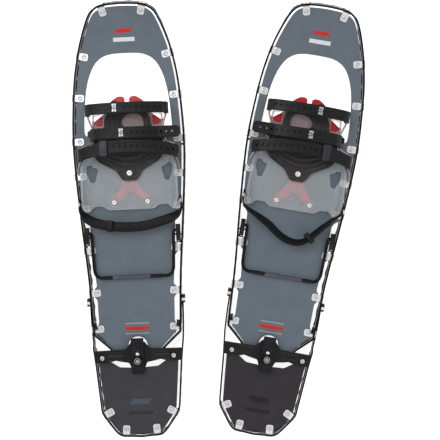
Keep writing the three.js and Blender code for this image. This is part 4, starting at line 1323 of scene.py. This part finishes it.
def hook_points(x, z):
    r = WIRE_RADIUS + STRAP_WALL / 2 + 1.2
    angles = np.radians(np.linspace(20, -150, 8))
    return [(x + r * math.cos(a), z + r * math.sin(a)) for a in angles]


def arch(wire, crest, start, stop, count=26):
    x = np.linspace(start, stop, count)
    z = wire[1] + (crest - wire[1]) * np.sqrt(1 - (x / (wire[0] + ARCH_PAST_WIRE)) ** 2)
    return list(zip(x, z))


def ribbon(strap, path, holes=(), tip=0.0, side=1.0):
    """An elastomer strap along a path of (x, z) points, with rims along its edges and real holes."""
    path = spaced(eased(path, 3.0), 1.5)
    half = strap["width"] / 2
    outline = box(0, lengths(path)[-1], -half, half, [0.0, tip, tip, 0.0], 7)
    flat = slab(outline, holes, -STRAP_WALL / 2, STRAP_WALL / 2, 2.6, 2.6)
    s, across, height = flat.points.T
    edge = ridge(np.abs(across), half - 1.3, 1.1)
    xz = lifted(path, s, height * (1 + edge * 2 * STRAP_RIM / STRAP_WALL), 0.6)
    x = side * xz[:, 0]
    y = y_at(bowed(strap, x)) + across
    return Shape(np.column_stack([x, y, xz[:, 1]]), flat.faces, np.column_stack([x, y]))


def strap_holes(path, start, stop, slant):
    """Round or slanted oval holes along a strap, at even steps of x so that both layers' holes line up."""
    path = spaced(eased(path, 3.0), 1.5)
    s = lengths(path)
    order = np.argsort(path[:, 0])
    holes = []
    for x in np.arange(math.ceil(start / HOLE_PITCH) * HOLE_PITCH, stop, HOLE_PITCH):
        centre = np.interp(x, path[order, 0], s[order])
        ring = circle(0, 0, HOLE_RADIUS, 14)
        if slant:
            ring = ring * np.array([0.8, 1.45])
            c, n = math.cos(slant), math.sin(slant)
            ring = ring @ np.array([[c, n], [-n, c]])
        holes.append(ring + np.array([centre, 0.0]))
    return holes


def strap_layers(kind):
    """One strap's two layers, its tab, and its buckle's place as (x, y, z, lean)."""
    strap = STRAPS[kind]
    (wire_x, wire_z), crest, buckle_x = strap["wire"], strap["crest"], strap["buckle"]
    slant = 0.5 if kind == "instep" else 0.0
    upper = arch(strap["wire"], crest, wire_x - ARCH_END, -buckle_x + 3.6)
    lower = [(x, z - STRAP_WALL - 0.5) for x, z in upper][::-1]
    round_wire = [(wire_x + 2, wire_z + 8)] + hook_points(wire_x, wire_z)
    free = upper[::-1] + [strap["tip"]]
    free_holes = strap_holes(free, -buckle_x + 14, strap["tip"][0] - 9, slant)
    layers = [ribbon(strap, lower + round_wire), ribbon(strap, free, free_holes, tip=8.0)]
    tab_path = arch(strap["wire"], crest, buckle_x - 3.3, wire_x - ARCH_END) + round_wire
    tab = ribbon(strap, tab_path, side=-1.0)
    tab = Shape(tab.points, [f[::-1] for f in tab.faces], tab.flat)
    (_, before), (_, after) = arch(strap["wire"], crest, buckle_x - 1, buckle_x + 1, 2)
    angle = math.atan2(after - before, 2.0)
    place = (-buckle_x, y_at(float(bowed(strap, -buckle_x))), (before + after) / 2, -angle)
    return together(layers), tab, place


def tilted(shape, place):
    """Moves a shape made at the origin to a buckle's place, leaning with the strap's arch."""
    x, y, z, angle = place
    c, s = math.cos(angle), math.sin(angle)
    turn = np.array([[c, 0, -s], [0, 1, 0], [s, 0, c]])
    return shape.turned(turn, (x, y, z))


def prong_buckle():
    """A forged steel buckle on top of the strap: a waisted plate, with a prong down through a hole."""
    w, d = 4.3, 7.0
    outline = [(-w, -d), (w, -d), (w * 0.62, 0), (w, d), (-w, d), (-w * 0.7, 0)]
    plate = slab(rounded(outline, 1.7, 4), [rectangle(3.4, 4.2, 1.2, 3)], 1.9, 3.3)
    prong = tube(np.array([(-2.6, 0, 3.9), (0.5, 0, 4.2), (3.6, 0, 3.6), (4.7, 0, 1.8)]), 1.15, (0, 1, 0), 10)
    head = [(0, 3.2), (1.5, 3.2), (1.5, 4.0), (0.8, 4.4), (0, 4.4)]
    bosses = [turned(head, 14, (0, y, 0)) for y in (-d + 2.2, d - 2.2)]
    return together([plate, prong, *bosses])


def buckle_frame(width):
    """The dark loop that the strap runs through, under its steel buckle."""
    outer, inner = rectangle(9.5, width + 4.6, 2.4), rectangle(6.0, width + 0.8, 1.2)
    return slab(outer, [inner], -1.9, 1.9)


def dark_ladder(width):
    """The instep's moulded buckle: a housing with a stepped back and a thumb tab."""
    body = slab(rectangle(13.0, width + 5.5, 3.2), [], 1.6, 6.0)
    tab = slab(rectangle(10.0, 13.0, 3.0), [], 6.0, 7.6)
    rib = slab(rectangle(1.3, width - 1.0, 0.5, 2), [], 6.0, 6.9)
    ribs = [rib.shifted(x, 0, 0) for x in (-5.0, 5.0)]
    lower = slab(rectangle(9.0, width + 5.5, 2.0), [rectangle(5.0, width + 0.8, 1.0)], -1.6, 1.6)
    return together([body, tab, *ribs, lower])


# [x, station, height, lean] along the heel strap's middle: taut on the left shoe, slack on the right
HEEL_TAUT = [
    [-88, 344, 39, 0], [-88, 356, 39, 0], [-85, 368, 40, 0.25], [-73, 382, 40, 0.7], [-50, 391, 40, 0.9],
    [-20, 396, 40, 0.95], [20, 396, 40, 0.95], [55, 388, 40, 0.9], [77, 380, 40, 0.6],
    [87, 369, 40, 0.2], [88, 358, 39, 0], [88, 344, 39, 0],
]
HEEL_SLACK = [
    [-88, 344, 39, 0], [-87, 357, 39, 0], [-78, 366, 40, 0.15], [-56, 388, 41, 0.25], [-42, 404, 41, 0.3],
    [-33, 414, 41, 0.35], [-22, 420, 41, 0.4], [-10, 421, 41, 0.45], [4, 418, 41, 0.5], [19, 410, 41, 0.5],
    [37, 397, 41, 0.5], [57, 386, 41, 0.4], [77, 376, 40, 0.25], [86, 367, 39, 0.05],
    [88, 356, 39, 0], [88, 344, 39, 0],
]
HEEL_WIDTH = 17.0
HEEL_RIM = 0.35
HEEL_HINGE_HEIGHT = 39.0
HEEL_HINGE_STATION = 354.0
KEEPER_X = -37.0


def heel_curve(path, step):
    return spaced(spline([[x, y_at(s), z, lean] for x, s, z, lean in path], 12), step)


def heel_band(path, start, stop, width, wall, offset):
    """Part of the heel strap, between two shares of its path, offset off its face."""
    curve = heel_curve(path, 1.5)
    total = lengths(curve)[-1]
    count = int(total * (stop - start) / 1.6)
    curve = at_lengths(curve, np.linspace(start * total, stop * total, count))
    middle = np.array([0.0, y_at(330), 0.0])
    plan = np.column_stack([curve[:, :2], np.zeros(len(curve))]) - middle
    away = plan / np.linalg.norm(plan, axis=1)[:, None]
    lean = curve[:, 3:4]
    sides = away * lean + np.array([0.0, 0.0, 1.0]) * (1 - lean)
    across, up = frames_along(curve[:, :3], sides)
    w, t = width / 2, wall / 2
    top = t + HEEL_RIM
    section = [
        (-w + 0.5, -t), (w - 0.5, -t), (w, -t + 0.5), (w, t - 0.4), (w - 0.6, top), (w - 1.6, top),
        (w - 2.6, t), (-w + 2.6, t), (-w + 1.6, top), (-w + 0.6, top), (-w, t - 0.4), (-w, -t + 0.5),
    ]
    wide, high = (np.array(section) + np.array([0.0, offset])).T[:, :, None]
    return rings([p + a * wide + u * high for p, a, u in zip(curve[:, :3], across, up)])


def keeper_place(path):
    curve = heel_curve(path, 1.0)
    k = int(np.argmin(np.abs(curve[:, 0] - KEEPER_X)))
    ahead = curve[k + 1] - curve[k - 1]
    return curve[k, :3], math.atan2(ahead[1], ahead[0])


def heel_keeper(path):
    """A moulded loop round the strap."""
    (x, y, z), angle = keeper_place(path)
    loop = slab(rectangle(20, 14.4, 3.0), [rectangle(16.8, 10.6, 2.0)], -4.5, 4.5)
    c, s = math.cos(angle), math.sin(angle)
    turn = np.array([[c, -s, 0], [s, c, 0], [0, 0, 1]])
    return upright(loop, x=0).turned(turn, (x, y, z))


def heel_ends(side):
    """The steel ring round one end of the heel strap, and its pin on the plate's curled side."""
    x, y, z = side * 86.2, y_at(HEEL_HINGE_STATION), HEEL_HINGE_HEIGHT
    oval = circle(0, 0, 1, 20) * np.array([4.6, 9.4]) + np.array([y, z])
    ring = np.column_stack([np.full(20, x + side * 1.8), oval])
    loop = tube(ring, 1.1, (1, 0, 0), 8, closed=True)
    profile = [(0, -3.2), (2.6, -3.2), (2.6, -2.4), (1.6, -2.2), (1.6, 3.4), (4.2, 3.5), (3.9, 4.6), (0, 5.0)]
    return loop, turned(profile, 16, axis="x").on_side(side).shifted(x, y, z)


# ---- the tail's crossbar, clip and knob ----
TAIL_BAR = [
    [0, 599], [12, 600], [22, 613], [77.8, 613.5], [76.4, 635], [50, 634.5],
    [40, 631.5], [28, 634], [16, 636], [12, 646], [0, 646],
]
SCREW = (63.0, 626.0)
SCREW_BORE = 2.2
STOP_HEIGHT = 27.0


def tail_crossbar():
    outline = rounded(mirrored(from_stations(TAIL_BAR)), 2.6, 4)
    bores = [circle(side * SCREW[0], y_at(SCREW[1]), SCREW_BORE, 14) for side in (1, -1)]

    def pressed(points):
        """Ribs and hollows moulded in its top."""
        p = points.copy()
        x, station = p[:, 0], y_at(p[:, 1])
        top = p[:, 2] > TAIL_SEAT + 2
        in_wing = within(np.abs(x), 24, 57, 3) * within(station, 616.5, 633, 1.6)
        p[:, 2] += np.where(top, -1.5 * in_wing * (1 - ridge(station, 624.5, 1.6)), 0.0)
        return p

    bar = slab(outline, bores, TAIL_SEAT, TAIL_BAR_TOP, 2.0, 2.0, pressed)
    block = slab(box(58.4, 73.4, -9, 9, 2.0, 3), [circle(SCREW[0], 0, SCREW_BORE, 14)], 8.0, 28.0)
    blocks = [block.on_side(side).shifted(0, y_at(SCREW[1]), 0) for side in (1, -1)]
    return bar, together(blocks)


def tail_screw(side):
    head = TAIL_BAR_TOP + 0.1
    profile = [
        (0, 12), (1.7, 12), (1.7, head), (3.9, head), (3.9, head + 0.6), (3.2, head + 1.5), (1.9, head + 1.8),
        (1.7, head + 0.9), (0, head + 0.8),
    ]
    return turned(profile, 18, (side * SCREW[0], y_at(SCREW[1]), 0))


def tail_clip():
    seat = TAIL_BAR_TOP + 0.4
    half = from_stations([[0, 593], [10, 593], [11, 595], [11, 654], [9, 656], [0, 656]])
    outline = rounded(mirrored(half), 2.8, 4)
    bore = circle(0, y_at(KNOB_STATION), 4.8, 24)

    def stepped(points):
        p = points.copy()
        station = y_at(p[:, 1])
        top = p[:, 2] > seat + 2.5
        hollow = within(station, 599, 617, 1.5) * rising(-np.abs(p[:, 0]), -6.5, 1.2)
        grip = np.sin(station * math.pi / 1.5) * 0.35 * (station > 645) * (np.abs(p[:, 0]) < 9)
        p[:, 2] += np.where(top, -2.2 * hollow + grip, 0.0)
        return p

    return slab(outline, [bore], seat, seat + 5.0, 1.5, 1.5, stepped)


def tail_knob():
    """A scalloped wing knob with a steel screw at its centre."""
    seat = TAIL_BAR_TOP + 5.8
    radius, bore = 8.5, 3.4 / 8.5
    angles = np.linspace(0, 2 * math.pi, 96, endpoint=False)
    scalloped = radius + 0.5 * np.cos(angles * 12)
    # each ring: share of the scalloped radius, height
    outline = [
        (3.7 / radius, TAIL_BAR_TOP + 0.8), (3.7 / radius, seat), (0.94, seat), (1.0, seat + 0.7),
        (1.0, seat + 4.6), (0.9, seat + 6.0), (0.72, seat + 6.4), (0.66, seat + 5.0),
        (bore * 1.15, seat + 4.8), (bore, seat + 4.0),
    ]
    y = y_at(KNOB_STATION)
    centre = (0, y, 0)
    loops = []
    for share, height in outline:
        across, ahead = scalloped * share * np.cos(angles), y + scalloped * share * np.sin(angles)
        loops.append(np.column_stack([across, ahead, np.full(96, height)]))
    head = [(0, 3.6), (2.9, 3.6), (2.9, 5.6), (2.3, 6.3), (1.2, 6.3), (1.0, 5.6), (0, 5.6)]
    flange = [(4.3, 4.6), (5.6, 4.6), (5.4, 5.7), (4.5, 5.7)]
    stud = turned([(r, seat + rise) for r, rise in head], 20, centre)
    washer = turned([(r, seat + rise) for r, rise in flange], 32, centre)
    return rings(loops), together([stud, washer])


def small_rivet(x, station, seat):
    rows = [(0, -0.6), (2.4, -0.6), (2.4, 0), (3.3, 0), (3.1, 0.7), (2.2, 1.1), (0, 1.2)]
    return turned([(radius, seat + rise) for radius, rise in rows], 16, (x, y_at(station), 0))


def arm_lugs():
    """At the front of each tail arm, a moulded lug beside the main rail, with a steel band round it."""
    front, rear = y_at(521), y_at(535)
    outline = rounded([(rear, 3.0), (front, 3.0), (front, 22.0), (y_at(524), 24.5), (rear, 24.5)], 2.0, 4)
    lug = upright(slab(outline, [], 0.0, 5.0), x=81.9)
    band = upright(slab(box(y_at(531.5), y_at(526.3), 6.0, 25.4, 0.8, 3), [], 0.0, 6.4), x=81.2)
    return [together([shape.on_side(side) for side in (1, -1)]) for shape in (lug, band)]


def tail_stops():
    """The black pegs inside the main rail that the tail's arms bear on."""
    profile = [(0, 70.8), (2.4, 70.8), (3.0, 71.4), (3.0, 73.4), (2.2, 73.8), (2.2, 76.2), (0, 76.2)]
    peg = turned(profile, 14, axis="x")
    places = [(side, station) for side in (1, -1) for station in (566.5, 573.0)]
    return together([peg.on_side(side).shifted(0, y_at(station), STOP_HEIGHT) for side, station in places])


# ---- both shoes ----
def dress(shoe, heel):
    side = shoe.side

    def add(name, shape, body, material, *nodes, **more):
        """A piece stands for the node of its own name unless others are named."""
        build(name, shape, shoe, body, material, nodes or [name], **more)

    add("frame_rail", main_rail(), "frame", "rail", bevel=0.45)
    add("deck_cloth", deck_cloth(), "frame", "deck_cloth", "deck", bevel=0.3)
    strips, rivets = clips_on(MAIN_RUN, places_on(MAIN_RUN, MAIN_CLIPS), toe=True)
    add("deck_clips", strips, "frame", "steel", "deck", bevel=0.3)
    add("deck_rivets", rivets, "frame", "steel", "deck")
    add("tail_stops", tail_stops(), "frame", "moulding", "frame_rail")
    add("front_crossbar", crossbar(95.6, 251, 8), "frame", "rail", bevel=0.4)
    add("axle_ears", axle_ears(), "frame", "rail", "front_crossbar", bevel=0.4)
    add("rear_crossbar", crossbar(85, 412, 7), "frame", "rail", bevel=0.4)
    add("pivot_axle", axle(), "frame", "steel")
    for place, sign in SIDES:
        block, screw = lifter_bracket(sign)
        add("lifter_bracket_" + place, block, "frame", "moulding", bevel=0.7)
        add("bracket_screw_" + place, screw, "frame", "steel", "lifter_bracket_" + place)
    add("heel_lifter", bail(), "lifter_body", "bail_wire")
    sleeve, grip_outer, grip_inner = (
        on_bail(-38, 28, 3.4, 9, 0.3), on_bail(-57, -38.4, 3.5, 5, 0.4), on_bail(28.4, 50, 3.5, 6, 0.4)
    )
    add("lifter_sleeve", sleeve, "lifter_body", "sleeve")
    add("lifter_grip_outer", grip_outer, "lifter_body", "grip", "heel_lifter", slot="moulding")
    add("lifter_grip_inner", grip_inner, "lifter_body", "grip", "heel_lifter", slot="moulding")

    add("crampon", crampon(), "binding", "crampon_paint", bevel=0.45)
    add("base_plate", base_plate(), "binding", "clear_plate", smooth=50)
    add("plate_bosses", plate_bosses(), "binding", "clear_plate", "base_plate", smooth=40)
    add("forefoot_pad", forefoot_pad(), "binding", "pad_elastomer", smooth=55, slot="elastomer")
    pad_rivet = rivet_head(0, PAD_RIVET_STATION, PAD_TOP + 0.4, 5.0, 2.0)
    add("pad_rivet", pad_rivet, "binding", "steel")
    arm_rivets = [rivet_head(x, station, PLATE_TOP + 0.4, 4.4, 2.0) for x, station in PLATE_BORES[1:]]
    add("arm_rivets", together(arm_rivets), "binding", "steel", "crampon")
    for place, sign in SIDES:
        add("side_wire_" + place, side_wire(sign), "binding", "wire_steel", slot="steel")

    for kind in STRAPS:
        layers, tab, place = strap_layers(kind)
        add(kind + "_strap", layers, kind + "_strap_body", "elastomer", smooth=50)
        buckle = kind + "_buckle"
        add(kind + "_tab", tab, "binding", "elastomer", buckle, smooth=50)
        width = STRAPS[kind]["width"]
        if kind == "instep":
            add(buckle, tilted(dark_ladder(width), place), "binding", "dark_buckle", bevel=0.6)
        else:
            add(buckle, tilted(prong_buckle(), place), "binding", "buckle_steel", bevel=0.35)
            loop = tilted(buckle_frame(width), place)
            add(buckle + "_loop", loop, "binding", "moulding", buckle, bevel=0.5)

    heel_band_rows = (
        ("heel_strap", 0.0, 1.0, HEEL_WIDTH, 2.4, 0.0),
        ("heel_strap_free_end", 0.16, 0.36, HEEL_WIDTH - 1.5, 1.8, 2.5),
    )
    for name, *sizes in heel_band_rows:
        band = heel_band(heel, *sizes)
        add(name, band, "heel_strap_body", "heel_elastomer", "heel_strap", smooth=50, slot="elastomer")
    add("heel_keeper", heel_keeper(heel), "heel_strap_body", "moulding", bevel=0.5)
    for place, sign in SIDES:
        loop, pin = heel_ends(sign)
        add("heel_ring_" + place, loop, "heel_strap_body", "steel", "heel_strap")
        add("heel_pin_" + place, pin, "binding", "steel", "base_plate")

    add("tail_frame", tail_rail(), "tail", "rail", bevel=0.45)
    add("tail_cloth", tail_cloth(), "tail", side + "_tail_cloth", "tail_sheet", bevel=0.3, slot="tail_cloth")
    strips, rivets = clips_on(TAIL_RUN, places_on(TAIL_RUN, TAIL_CLIPS))
    add("tail_clips", strips, "tail", "steel", "tail_sheet", bevel=0.3)
    add("tail_rivets", rivets, "tail", "steel", "tail_sheet")
    lugs, bands = arm_lugs()
    add("arm_lugs", lugs, "tail", "moulding", "tail_frame", bevel=0.5)
    add("arm_bands", bands, "tail", "steel", "tail_frame", bevel=0.3)
    bar, blocks = tail_crossbar()
    add("tail_crossbar", bar, "tail", "moulding", smooth=50)
    add("tail_crossbar_ends", blocks, "tail", "moulding", "tail_crossbar", bevel=0.6)
    for place, sign in SIDES:
        add("tail_screw_" + place, tail_screw(sign), "tail", "steel")
    add("tail_clip", tail_clip(), "tail", "moulding", smooth=50)
    add("clip_rivet", small_rivet(0, 621, TAIL_BAR_TOP + 5.4), "tail", "steel", "tail_clip")
    knob, stud = tail_knob()
    add("tail_knob", knob, "knob", "moulding", smooth=40)
    add("knob_stud", stud, "knob", "steel", "tail_knob")


for shoe, heel in zip(SHOES, (HEEL_TAUT, HEEL_SLACK)):
    dress(shoe, heel)


# ---- floor, light and camera ----
def set_stage():
    half = 8.0  # metres
    corners = [(-half, -half, 0), (half, -half, 0), (half, half, 0), (-half, half, 0)]
    floor_mesh = bpy.data.meshes.new("floor")
    floor_mesh.from_pydata(corners, [], [(0, 1, 2, 3)])
    floor = bpy.data.objects.new("floor", floor_mesh)
    # a little under the teeth, so that the two never share a plane
    floor.location.z = -0.0005
    bpy.context.scene.collection.objects.link(floor)
    n = Nodes("floor")
    shade = n.mix(n.noise(3.0, 2.0), hexed(246, 246, 246), hexed(250, 250, 250))
    surface = n.surface(base=shade, roughness=0.9)
    surface.inputs["Emission Color"].default_value = (1.0, 1.0, 1.0, 1.0)
    surface.inputs["Emission Strength"].default_value = 0.8
    floor_mesh.materials.append(n.finish(surface))

    world = bpy.data.worlds.new("studio")
    world.use_nodes = True
    sky = world.node_tree.nodes["Background"].inputs
    sky["Color"].default_value = (1.0, 1.0, 1.0, 1.0)
    sky["Strength"].default_value = 0.5
    bpy.context.scene.world = world
    for name, place, size, energy in (
        ("key", (-0.9, 0.9, 1.9), 1.4, 17.0),
        ("fill", (1.3, -0.4, 1.7), 1.6, 6.0),
        ("back", (0.1, -1.6, 1.3), 1.2, 5.0),
    ):
        light = bpy.data.lights.new(name, "AREA")
        light.size = size
        light.energy = energy
        lamp = bpy.data.objects.new(name, light)
        lamp.location = place
        lamp.rotation_euler = (-Vector(place)).to_track_quat("-Z", "Y").to_euler()
        bpy.context.scene.collection.objects.link(lamp)


def set_camera():
    """Straight above the pair, near enough to look a little into the rails' inner faces."""
    shown_width = 0.7807
    deck_level = DECK_TOP * MM
    height = 1.25
    data = bpy.data.cameras.new("camera")
    data.sensor_width = 36.0
    data.sensor_height = 36.0
    data.lens = data.sensor_width * (height - deck_level) / shown_width
    data.clip_start = 0.05
    data.clip_end = 30.0
    camera = bpy.data.objects.new("camera", data)
    camera.location = (0.0025, -0.0011, height)
    bpy.context.scene.collection.objects.link(camera)
    bpy.context.scene.camera = camera
    bpy.context.scene.view_settings.view_transform = "Standard"


set_stage()
set_camera()
